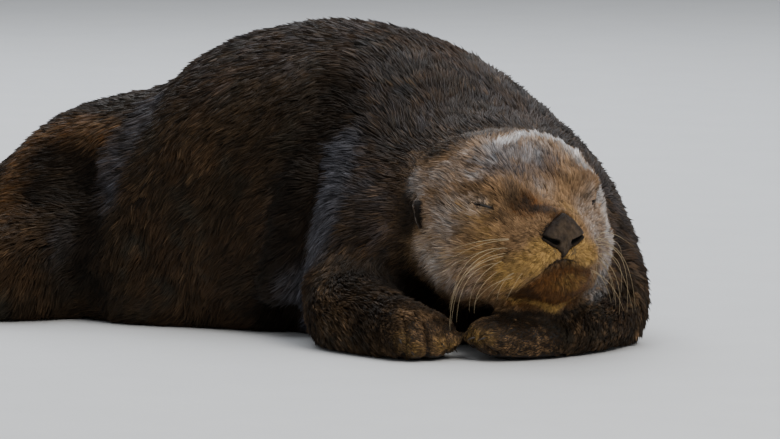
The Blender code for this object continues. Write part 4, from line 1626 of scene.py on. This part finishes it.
@dataclass
class NosePad:
    """The bare pad at the end of the muzzle, with its two nostrils."""

    head: HeadAxes
    depth: float = 9 * MM
    nostril_depth: float = 6.0 * MM
    groove_depth: float = 1.2 * MM
    wing_height: float = 1.3 * MM
    crease_height: float = 0.35 * MM
    rows: int = 72
    columns: int = 120

    nostril: ClassVar[Array] = np.array(((0.0075, -0.0050), (0.0125, -0.0032), (0.0195, 0.0005)))

    def surface(self) -> Array:
        """Lays the pad out ring by ring, from its middle round to its back.

        Returns:
            Its points in the head's axes.
        """
        ring = np.linspace(0.0, math.pi * 0.8, self.rows)[:, None]
        turn = ring_turns(self.columns)[None, :]
        reach = np.sin(ring) * Face.nose_rim(np.sin(turn), np.cos(turn))
        ahead = np.sign(np.cos(ring)) * np.abs(np.cos(ring)) ** 0.5 * self.depth + 0 * turn
        local = np.stack([ahead, reach * np.sin(turn), reach * np.cos(turn)], axis=-1)
        return self.nostrils(local) + np.array(Face.nose_place)

    def hollow(self, local: Array) -> Array:
        """How deep each point lies in a nostril.

        Args:
            local: The points, measured from the pad's middle.

        Returns:
            A share from 0 to 1 for each point.
        """
        flat = np.stack([np.abs(local[..., 1]), local[..., 2]], axis=-1).reshape(-1, 2)
        away = segment_distance(flat, self.nostril).reshape(local.shape[:-1])
        thin = 0.55 + 0.45 * ease(0.019, 0.009, np.abs(local[..., 1]))
        return ease(3.0 * MM, 1.0 * MM, away / thin)

    def nostrils(self, local: Array) -> Array:
        """Presses the nostrils, the middle groove and soft wings into the pad.

        Args:
            local: The pad's points from its own middle.

        Returns:
            The worked points.
        """
        across, height = np.abs(local[..., 1]), local[..., 2]
        front = local[..., 0] > 0
        wing = np.exp(-(((across - 0.012) / (7 * MM)) ** 2) - ((height - 3.0 * MM) / (3.0 * MM)) ** 2)
        groove = bell(across, 1.0 * MM) * ease(0.002, -0.008, height)
        creases = self.crease_height * ripple(local.reshape(-1, 3), 0.0055, 31, 14).reshape(front.shape)
        pressed = self.hollow(local) * self.nostril_depth + groove * self.groove_depth
        local[..., 0] += front * (wing * self.wing_height + creases - pressed)
        return local

    def build(self, finish: "Finish") -> None:
        """Makes the pad.

        Args:
            finish: The pad's material.
        """
        local = self.surface().reshape(-1, 3)
        triangles = grid_triangles(self.rows, self.columns, closed=True)[:, ::-1]
        mesh = triangle_mesh("nose_pad", self.head.world(local), triangles)
        hollow = self.hollow(local - np.array(Face.nose_place))
        keep_values(mesh, "relief", hollow, Face.nose_share(local), 0 * hollow)
        place_piece(mesh, finish, ("nose",))


@dataclass
class Claws:
    """A short curved claw on each toe."""

    rows: int = 9
    columns: int = 10
    buried: float = 3 * MM
    droop: float = 2.4 * MM
    thick: float = 0.2
    oval: float = 0.75
    floor_gap: float = 0.3 * MM

    def build(self, finish: "Finish") -> None:
        """Makes every claw.

        Args:
            finish: Their material.
        """
        share = np.linspace(0, 1, self.rows)[:, None, None]
        turn = ring_turns(self.columns)[None, :, None]
        shape = grid_triangles(self.rows, self.columns, closed=True)
        claws = []
        for node, paw in PAWS.items():
            ahead = np.array((*paw.heading, 0.0))
            across = np.array((-paw.heading[1], paw.heading[0], 0.0))
            for tip in paw.tips(node):
                fall = np.array((0, 0, -self.droop)) * share**2
                spine = tip - ahead * self.buried + ahead * (paw.claw + self.buried) * share + fall
                radius = self.thick * paw.claw * (1 - share) ** 0.6 + 0.15 * MM
                ring = across * np.cos(turn) * self.oval + np.array((0, 0, 1.0)) * np.sin(turn)
                points = (spine + ring * radius).reshape(-1, 3)
                points[:, 2] = np.maximum(points[:, 2], self.floor_gap)
                claws.append((points, shape))
        place_piece(triangle_mesh("claws", *joined(claws)), finish)


@dataclass
class Whiskers:
    """Thin straw-coloured whiskers on both lips that arch out and hang down."""

    head: HeadAxes
    seed: int = 41
    sides: int = 5
    steps: int = 14
    root_radius: float = 0.31 * MM
    tip_radius: float = 0.08 * MM
    buried: float = 5 * MM

    # How far roots, elbows and tips stray, in millimetres.
    strays: ClassVar[tuple] = (2.6, 4.0, 5.5)
    # Each row: how many whiskers, then the first and last root, elbow and tip.
    rows: ClassVar[tuple] = (
        (7, (0.0760, 0.044, -0.018), (0.0665, 0.050, -0.033), (0.052, 0.097, -0.016), (0.058, 0.070, -0.046),
         (0.058, 0.099, -0.082), (0.060, 0.068, -0.074)),
        (3, (0.0760, 0.046, -0.012), (0.0700, 0.049, -0.016), (0.060, 0.074, -0.010), (0.055, 0.070, -0.016),
         (0.036, 0.094, -0.024), (0.030, 0.090, -0.040)),
        (4, (0.0860, 0.030, -0.031), (0.0740, 0.044, -0.042), (0.086, 0.040, -0.036), (0.072, 0.058, -0.046),
         (0.078, 0.050, -0.056), (0.066, 0.064, -0.072)),
    )

    def hair(self, root: Array, elbow: Array, tip: Array) -> tuple:
        """One bent tapering whisker.

        Args:
            root: Where it leaves the lip, in the head's axes.
            elbow: The corner that its curve bends round.
            tip: Its end.

        Returns:
            Points and triangles.
        """
        share = np.linspace(0, 1, self.steps)[:, None]
        spine = root * (1 - share) ** 2 + 2 * elbow * share * (1 - share) + tip * share**2
        way = unit(np.gradient(spine, axis=0))
        first = unit(np.cross(way, np.array((0.3, 0.2, 1.0))))
        second = np.cross(way, first)
        radius = self.root_radius + (self.tip_radius - self.root_radius) * share
        turns = ring_turns(self.sides)
        rings = [spine + (first * math.cos(turn) + second * math.sin(turn)) * radius for turn in turns]
        points = np.stack(rings, axis=1).reshape(-1, 3)
        triangles = grid_triangles(self.steps, self.sides, closed=True)
        last = (self.steps - 1) * self.sides
        caps = [(last, last + k, last + k + 1) for k in range(1, self.sides - 1)]
        return points, np.concatenate([triangles, np.array(caps)])

    def build(self, finish: "Finish") -> None:
        """Makes every whisker.

        Args:
            finish: Their material.
        """
        chance = np.random.default_rng(self.seed)
        whiskers = []
        for sign in SIDES.values():
            for count, *ends in self.rows:
                for share in (number / (count - 1) for number in range(count)):
                    three = []
                    for stray, (one, other) in zip(self.strays, zip(ends[::2], ends[1::2]), strict=True):
                        place = np.array(one) * (1 - share) + np.array(other) * share
                        three.append((place + chance.normal(0, stray * MM, 3)) * np.array((1, sign, 1)))
                    three[0] -= unit(three[1] - three[0]) * self.buried
                    whiskers.append(self.hair(*three))
        points, triangles = joined(whiskers)
        place_piece(triangle_mesh("whiskers", self.head.world(points), triangles), finish)


# --- node trees


class Wiring:
    """Places and links the nodes of one material or group."""

    def __init__(self, tree: bpy.types.NodeTree) -> None:
        """Starts on a tree."""
        self.tree = tree

    def add(self, kind: str, inputs: dict | None = None, **settings: object) -> bpy.types.Node:
        """Adds one node.

        Args:
            kind: The node's type, after ShaderNode.
            inputs: What feeds its inputs, by their names or numbers.
            **settings: Properties to set on it.

        Returns:
            The node.
        """
        node = self.tree.nodes.new(f"ShaderNode{kind}")
        for name, value in settings.items():
            setattr(node, name, value)
        self.feed(node, inputs or {})
        return node

    def feed(self, node: bpy.types.Node, inputs: dict) -> None:
        """Links a node's inputs to other nodes, or sets their values.

        Args:
            node: The node.
            inputs: An output socket, a number, a colour or a vector for each input.
        """
        for name, value in inputs.items():
            if isinstance(value, Socket):
                self.tree.links.new(value, node.inputs[name])
            else:
                node.inputs[name].default_value = value

    def sum_of(self, operation: str, first: object, second: object) -> Socket:
        """The result of a Math node with two values."""
        return self.add("Math", {0: first, 1: second}, operation=operation).outputs[0]

    def mix(self, share: object, first: object, second: object) -> Socket:
        """A colour between two, with a share from 0 to 1 of the second."""
        return self.add("Mix", {"Factor": share, 6: first, 7: second}, data_type="RGBA").outputs[2]

    def noise(self, scale: object, detail: float = 3.0, rough: float = 0.55, place: object = None) -> Socket:
        """A Noise texture through the piece's own space.

        Args:
            scale: Its scale.
            detail: Its detail.
            rough: Its roughness.
            place: Where it is read, or the piece's own coordinates.

        Returns:
            The noise value's socket.
        """
        place = place or self.add("TexCoord").outputs["Object"]
        inputs = {"Vector": place, "Scale": scale, "Detail": detail, "Roughness": rough}
        return self.add("TexNoise", inputs).outputs["Fac"]

    def spread(
        self, value: object, low: float, high: float, to_low: float = 0.0, to_high: float = 1.0
    ) -> Socket:
        """A value mapped so that low becomes to_low and high becomes to_high, and kept between them."""
        inputs = dict(enumerate((value, low, high, to_low, to_high)))
        return self.add("MapRange", inputs, clamp=True).outputs[0]

    def attribute(self, name: str) -> list:
        """The sockets of an attribute's three numbers."""
        node = self.add("Attribute", attribute_type="GEOMETRY", attribute_name=name)
        return list(self.add("SeparateXYZ", {0: node.outputs["Vector"]}).outputs)

    def bump(self, height: object, strength: float, distance: float) -> Socket:
        """The normal from a height, where distance is how high a full step is."""
        inputs = {"Strength": strength, "Distance": distance, "Height": height}
        return self.add("Bump", inputs).outputs["Normal"]

    def group(self, shared: "SharedGroup", inputs: dict) -> bpy.types.NodeOutputs:
        """The outputs of a shared group that is placed with the given inputs."""
        return self.add("Group", inputs, node_tree=shared.tree()).outputs


@dataclass(frozen=True)
class SharedGroup:
    """A node group that several materials use, built once."""

    name: str
    inputs: tuple
    outputs: dict

    def tree(self) -> bpy.types.NodeTree:
        """The group, built the first time it is asked for.

        Returns:
            The group's tree.
        """
        if self.name in bpy.data.node_groups:
            return bpy.data.node_groups[self.name]
        tree = bpy.data.node_groups.new(self.name, "ShaderNodeTree")
        for label in self.inputs:
            tree.interface.new_socket(name=label, in_out="INPUT", socket_type="NodeSocketFloat")
        for label, kind in self.outputs.items():
            tree.interface.new_socket(name=label, in_out="OUTPUT", socket_type=f"NodeSocket{kind}")
        wiring = Wiring(tree)
        given = tree.nodes.new("NodeGroupInput").outputs
        wiring.feed(tree.nodes.new("NodeGroupOutput"), self.results(wiring, given))
        return tree

    def results(self, wiring: Wiring, given: bpy.types.NodeOutputs) -> dict:
        """Wires the group up. Each kind of group does this its own way."""
        raise NotImplementedError


def srgb(red: int, green: int, blue: int) -> tuple:
    """A colour as the shaders want it, with an alpha of 1, from the usual 0 to 255 values."""
    parts = [value / 255 for value in (red, green, blue)]
    return (*(part / 12.92 if part <= 0.04045 else ((part + 0.055) / 1.055) ** 2.4 for part in parts), 1.0)


@dataclass(frozen=True)
class PeltColour(SharedGroup):
    """Turns the markings and a strand's own values into the coat's colour."""

    name: str = "pelt_colour"
    inputs: tuple = ("Tan", "Pale", "Dark", "Ginger", "Rust", "Slate", "Shade", "Along", "Glint")
    outputs: dict = field(default_factory=lambda: {"Color": "Color", "Roughness": "Float"})

    # Palette: dark also colours every painted shade, slate the grey of the forehead and the painted sky
    # sheen, ginger the painted highlights on the chin, and tan the painted lit tufts.
    brown: tuple = ((12, 8, 5), (48, 36, 23), (59, 42, 26), (49, 44, 35))
    tan: tuple = ((59, 41, 25), (150, 119, 86))
    rust: tuple = (88, 54, 20)
    ginger: tuple = (168, 134, 76)
    slate: tuple = (76, 77, 84)
    pale: tuple = (216, 220, 225)
    dark: tuple = (19, 12, 6)

    def results(self, wiring: Wiring, given: bpy.types.NodeOutputs) -> dict:
        """Wires the group up.

        Args:
            wiring: Its wiring.
            given: Its inputs' sockets.

        Returns:
            What feeds each output.
        """
        root, tip, warm, grey = (srgb(*colour) for colour in self.brown)
        tips = wiring.mix(wiring.spread(wiring.noise(14.0, 4.0, 0.65), 0.46, 0.60), tip, warm)
        tips = wiring.mix(wiring.spread(wiring.noise(22.0, 4.0, 0.65), 0.52, 0.66), tips, grey)
        brown = wiring.mix(given["Along"], root, tips)
        tan = wiring.mix(given["Along"], *(srgb(*colour) for colour in self.tan))
        outer = wiring.spread(given["Along"], 0.0, 1.0, 0.35, 1.0)
        colour = wiring.mix(given["Tan"], brown, tan)
        for label in ("Rust", "Ginger", "Slate", "Pale", "Dark"):
            share = given[label]
            if label in ("Slate", "Pale"):
                share = wiring.sum_of("MULTIPLY", share, outer)
            colour = wiring.mix(share, colour, srgb(*getattr(self, label.lower())))
        mottle = wiring.sum_of("MULTIPLY", wiring.noise(38.0, 4.0), 0.4)
        light = wiring.spread(wiring.sum_of("ADD", given["Shade"], mottle), 0.2, 1.2, 0.34, 1.72)
        glint = wiring.sum_of("MULTIPLY", given["Glint"], given["Along"])
        shaded = wiring.add("HueSaturation", {"Color": colour, "Value": wiring.sum_of("ADD", light, glint)})
        gloss = wiring.spread(wiring.noise(120.0, 2.0), 0.3, 0.7, 0.46, 0.66)
        return {"Color": shaded.outputs[0], "Roughness": gloss}


@dataclass(frozen=True)
class FineGrain(SharedGroup):
    """Fine unevenness for leather, horn, skin and ground."""

    name: str = "fine_grain"
    inputs: tuple = ("Scale", "Cells")
    outputs: dict = field(default_factory=lambda: {"Height": "Float", "Mask": "Float"})

    def results(self, wiring: Wiring, given: bpy.types.NodeOutputs) -> dict:
        """Wires the group up.

        Args:
            wiring: Its wiring.
            given: Its inputs' sockets.

        Returns:
            What feeds each output.
        """
        scale = given["Scale"]
        place = wiring.add("TexCoord").outputs["Object"]
        cells = wiring.add("TexVoronoi", {"Vector": place, "Scale": scale}, feature="DISTANCE_TO_EDGE")
        walls = wiring.spread(cells.outputs["Distance"], 0.0, 0.25)
        fine = wiring.noise(wiring.sum_of("MULTIPLY", scale, 1.7), 4.0, place=place)
        height = wiring.add("Mix", {"Factor": given["Cells"], 2: fine, 3: walls}, data_type="FLOAT")
        mask = wiring.noise(wiring.sum_of("MULTIPLY", scale, 0.2), 3.0, place=place)
        return {"Height": height.outputs[0], "Mask": mask}


# --- finishes


@dataclass(frozen=True)
class Finish:
    """A material with one Principled shader, made once."""

    name: str

    def material(self) -> bpy.types.Material:
        """The material, built the first time it is asked for.

        Returns:
            The material.
        """
        if self.name in bpy.data.materials:
            return bpy.data.materials[self.name]
        made = bpy.data.materials.new(self.name)
        made.use_nodes = True
        made.node_tree.nodes.clear()
        wiring = Wiring(made.node_tree)
        shader = wiring.add("BsdfPrincipled", self.surface(wiring))
        wiring.add("OutputMaterial", {"Surface": shader.outputs[0]})
        return made

    def surface(self, wiring: Wiring) -> dict:
        """What feeds each of the shader's inputs. Each finish does this its own way."""
        raise NotImplementedError


def pelt(wiring: Wiring) -> bpy.types.NodeOutputs:
    """Colours a piece by the markings and strand values that it carries.

    Args:
        wiring: The material's wiring.

    Returns:
        The pelt group's outputs.
    """
    shared = PeltColour()
    sockets = [socket for name in ("marks_a", "marks_b", "strand") for socket in wiring.attribute(name)]
    return wiring.group(shared, dict(zip(shared.inputs, sockets, strict=True)))


@dataclass(frozen=True)
class CoatFinish(Finish):
    """Fur: root to tip colour, each tuft its own shade, with a soft sheen."""

    sheen: float = 0.03
    sheen_rough: float = 0.4
    sheen_tint: tuple = (0.72, 0.74, 0.80, 1.0)
    specular: float = 0.18
    specular_tint: tuple = (1.0, 0.90, 0.78, 1.0)

    def surface(self, wiring: Wiring) -> dict:
        """Colours the strands.

        Args:
            wiring: The material's wiring.

        Returns:
            What feeds each of the shader's inputs.
        """
        strands = pelt(wiring)
        return {
            "Base Color": strands["Color"],
            "Roughness": strands["Roughness"],
            "Normal": wiring.bump(wiring.noise(900.0, 2.0), 0.25, 0.0004),
            "Specular IOR Level": self.specular,
            "Specular Tint": self.specular_tint,
            "Sheen Weight": self.sheen,
            "Sheen Roughness": self.sheen_rough,
            "Sheen Tint": self.sheen_tint,
        }


@dataclass(frozen=True)
class SkinFinish(Finish):
    """The skin and dense underfur, darker than the coat over it, mixed towards a painted shadow colour."""

    shadow: tuple = (16, 11, 7)

    def surface(self, wiring: Wiring) -> dict:
        """Colours the underfur.

        Args:
            wiring: The material's wiring.

        Returns:
            What feeds each of the shader's inputs.
        """
        grain = wiring.group(FineGrain(), {"Scale": 420.0, "Cells": 0.25})
        return {
            "Base Color": wiring.mix(0.55, pelt(wiring)["Color"], srgb(*self.shadow)),
            "Roughness": wiring.spread(grain["Mask"], 0.3, 0.7, 0.6, 0.8),
            "Normal": wiring.bump(grain["Height"], 0.6, 0.0008),
        }


@dataclass(frozen=True)
class NoseFinish(Finish):
    """Dark grained leather, with near-black painted shade in the nostrils."""

    deep: tuple = (44, 33, 22)
    light: tuple = (92, 75, 56)
    edge: tuple = (34, 22, 12)
    # Painted shade in the nostrils' depths.
    nostril: tuple = (8, 6, 5)

    def surface(self, wiring: Wiring) -> dict:
        """Colours the leather.

        Args:
            wiring: The material's wiring.

        Returns:
            What feeds each of the shader's inputs.
        """
        hollow, rim, _ = wiring.attribute("relief")
        grain = wiring.group(FineGrain(), {"Scale": 900.0, "Cells": 0.7})
        colour = wiring.mix(wiring.spread(grain["Mask"], 0.32, 0.68), srgb(*self.deep), srgb(*self.light))
        colour = wiring.mix(wiring.spread(rim, 0.62, 1.0), colour, srgb(*self.edge))
        return {
            "Base Color": wiring.mix(wiring.spread(hollow, 0.15, 0.6), colour, srgb(*self.nostril)),
            "Roughness": wiring.spread(grain["Height"], 0.2, 0.8, 0.66, 0.52),
            "Normal": wiring.bump(grain["Height"], 0.9, 0.0009),
            "Specular IOR Level": 0.35,
        }


@dataclass(frozen=True)
class CloudFinish(Finish):
    """Two colours that drift into each other, for the eyes and the whiskers."""

    cloud: tuple
    deep: tuple
    light: tuple
    spread: tuple
    grain: tuple
    coat: tuple = (0.0, 0.03)

    def surface(self, wiring: Wiring) -> dict:
        """Colours the surface.

        Args:
            wiring: The material's wiring.

        Returns:
            What feeds each of the shader's inputs.
        """
        clouds = wiring.noise(*self.cloud)
        return {
            "Base Color": wiring.mix(clouds, srgb(*self.deep), srgb(*self.light)),
            "Roughness": wiring.spread(clouds, *self.spread),
            "Coat Weight": self.coat[0],
            "Coat Roughness": self.coat[1],
            **({"Normal": wiring.bump(wiring.noise(*self.grain[:2]), *self.grain[2:])} if self.grain else {}),
        }


WET_EYE = CloudFinish(
    "wet_eye", (260.0, 4.0), (10, 7, 5), (34, 22, 15), (0.2, 0.8, 0.05, 0.14), (), (0.6, 0.04),
)
BRISTLE = CloudFinish(
    "whisker_bristle", (70.0, 2.0), (124, 104, 74), (190, 172, 136), (0.3, 0.7, 0.3, 0.5),
    (1500.0, 2.0, 0.2, 0.0001),
)


@dataclass(frozen=True)
class GrainFinish(Finish):
    """Two colours mottled by fine grain, for horn and for the ground."""

    scale: float
    cells: float
    deep: tuple
    light: tuple
    smooth: float
    rough: float
    relief: float
    relief_height: float

    def surface(self, wiring: Wiring) -> dict:
        """Colours the surface.

        Args:
            wiring: The material's wiring.

        Returns:
            What feeds each of the shader's inputs.
        """
        grain = wiring.group(FineGrain(), {"Scale": self.scale, "Cells": self.cells})
        return {
            "Base Color": wiring.mix(grain["Mask"], srgb(*self.deep), srgb(*self.light)),
            "Roughness": wiring.spread(grain["Height"], 0.3, 0.7, self.smooth, self.rough),
            "Normal": wiring.bump(grain["Height"], self.relief, self.relief_height),
        }


CLAW_HORN = GrainFinish("claw_horn", 700.0, 0.2, (24, 18, 13), (58, 47, 35), 0.3, 0.48, 0.4, 0.0003)
PALE_FLOOR = GrainFinish("pale_floor", 60.0, 0.0, (216, 217, 218), (224, 225, 226), 0.75, 0.9, 0.1, 0.001)


# --- studio


@dataclass
class Studio:
    """A pale floor, soft light and the camera."""

    aim_share: tuple = (0.7987, 0.1895, 0.4209)
    azimuth: float = 27.0
    elevation: float = 6.0
    distance: float = 7.0
    span: float = 0.6864
    floor_size: float = 400.0
    air: tuple = (0.88, 0.91, 0.94, 1)
    air_strength: float = 0.33

    # Each lamp: its way from the animal, in shares to the camera's right, to its front and up,
    # then how far away it hangs, the side of its square, its watts and its colour.
    lamps: ClassVar[dict] = {
        "sky": ((0.0, -0.25, 1.0), 3.4, 4.0, 100, (0.93, 0.96, 1.0)),
        "key": ((0.55, 0.75, 0.85), 3.6, 1.8, 74, (1.0, 0.96, 0.90)),
        "rim": ((-0.2, -1.0, 0.7), 3.4, 2.4, 44, (0.88, 0.93, 1.0)),
    }

    def build(self, finish: Finish) -> None:
        """Lays the floor, hangs the lamps, and sets up the camera and the air's own light.

        Args:
            finish: The floor's material.
        """
        bm = bmesh.new()
        bmesh.ops.create_grid(bm, x_segments=8, y_segments=8, size=self.floor_size / 2)
        floor = in_scene("floor", filled(bm, "floor"))
        floor.data.materials.append(finish.material())
        turn, rise = math.radians(self.azimuth), math.radians(self.elevation)
        right = Vector((math.cos(turn), math.sin(turn), 0))
        front = Vector((math.sin(turn), -math.cos(turn), 0))
        for name, (shares, away, size, power, colour) in self.lamps.items():
            way = right * shares[0] + front * shares[1] + Vector((0, 0, shares[2]))
            self.lamp(name, way.normalized(), away, size, power, colour)
        camera = bpy.data.cameras.new("camera")
        camera.sensor_width = 36
        camera.lens = camera.sensor_width * self.distance / self.span
        camera.clip_end = 200
        back = front * math.cos(rise) + Vector((0, 0, math.sin(rise)))
        bpy.context.scene.camera = self.hang("camera", camera, back, self.distance)
        world = bpy.data.worlds.new("air")
        world.use_nodes = True
        air = world.node_tree.nodes["Background"]
        air.inputs["Color"].default_value = self.air
        air.inputs["Strength"].default_value = self.air_strength
        bpy.context.scene.world = world

    def lamp(self, name: str, way: Vector, away: float, size: float, power: float, colour: tuple) -> None:
        """Hangs a soft square lamp that the camera doesn't see.

        Args:
            name: The lamp's name.
            way: The direction in which it hangs, seen from the animal.
            away: How far away.
            size: The side of its square.
            power: Its power in watts.
            colour: Its colour.
        """
        light = bpy.data.lights.new(name, "AREA")
        light.shape = "SQUARE"
        light.size = size
        light.energy = power
        light.color = colour
        self.hang(name, light, way, away).visible_camera = False

    def hang(self, name: str, data: bpy.types.ID, way: Vector, away: float) -> bpy.types.Object:
        """Hangs a lamp or the camera so that it looks at the animal.

        Args:
            name: Its name.
            data: The light or the camera.
            way: The direction in which it hangs, seen from the animal.
            away: How far away.

        Returns:
            The object.
        """
        thing = in_scene(name, data)
        thing.location = Vector(box_place(CAD_BOX, self.aim_share)) + way * away
        thing.rotation_mode = "QUATERNION"
        thing.rotation_quaternion = (-way).to_track_quat("-Z", "Y")
        return thing


def corner_places(mesh: Mesh) -> Array:
    """The unwrap of a mesh of triangles.

    Args:
        mesh: The mesh, with an OFBake map.

    Returns:
        Three places a triangle.
    """
    flat = np.empty(2 * len(mesh.loops), np.float32)
    mesh.uv_layers["OFBake"].uv.foreach_get("vector", flat)
    return flat.reshape(-1, 3, 2).astype(float)


def main() -> None:
    """Builds the otter and its studio."""
    logging.basicConfig(level=logging.INFO, format="%(relativeCreated)7d ms  %(message)s")
    Studio().build(PALE_FLOOR)
    head = HeadAxes.from_eyes()
    skin = Skin(head)
    skin.grow()
    log.info("skin grown: %d points", len(skin.points))
    markings = Markings(skin)
    markings.build()
    piece = skin.dress(markings, SkinFinish("underfur"))
    coat = Coat(skin, markings, Comb(skin).build(), corner_places(piece.data))
    coat.build(CoatFinish("coat"))
    Eyes().build(WET_EYE)
    NosePad(head).build(NoseFinish("nose_leather"))
    Claws().build(CLAW_HORN)
    Whiskers(head).build(BRISTLE)


if __name__ == "__main__":
    main()
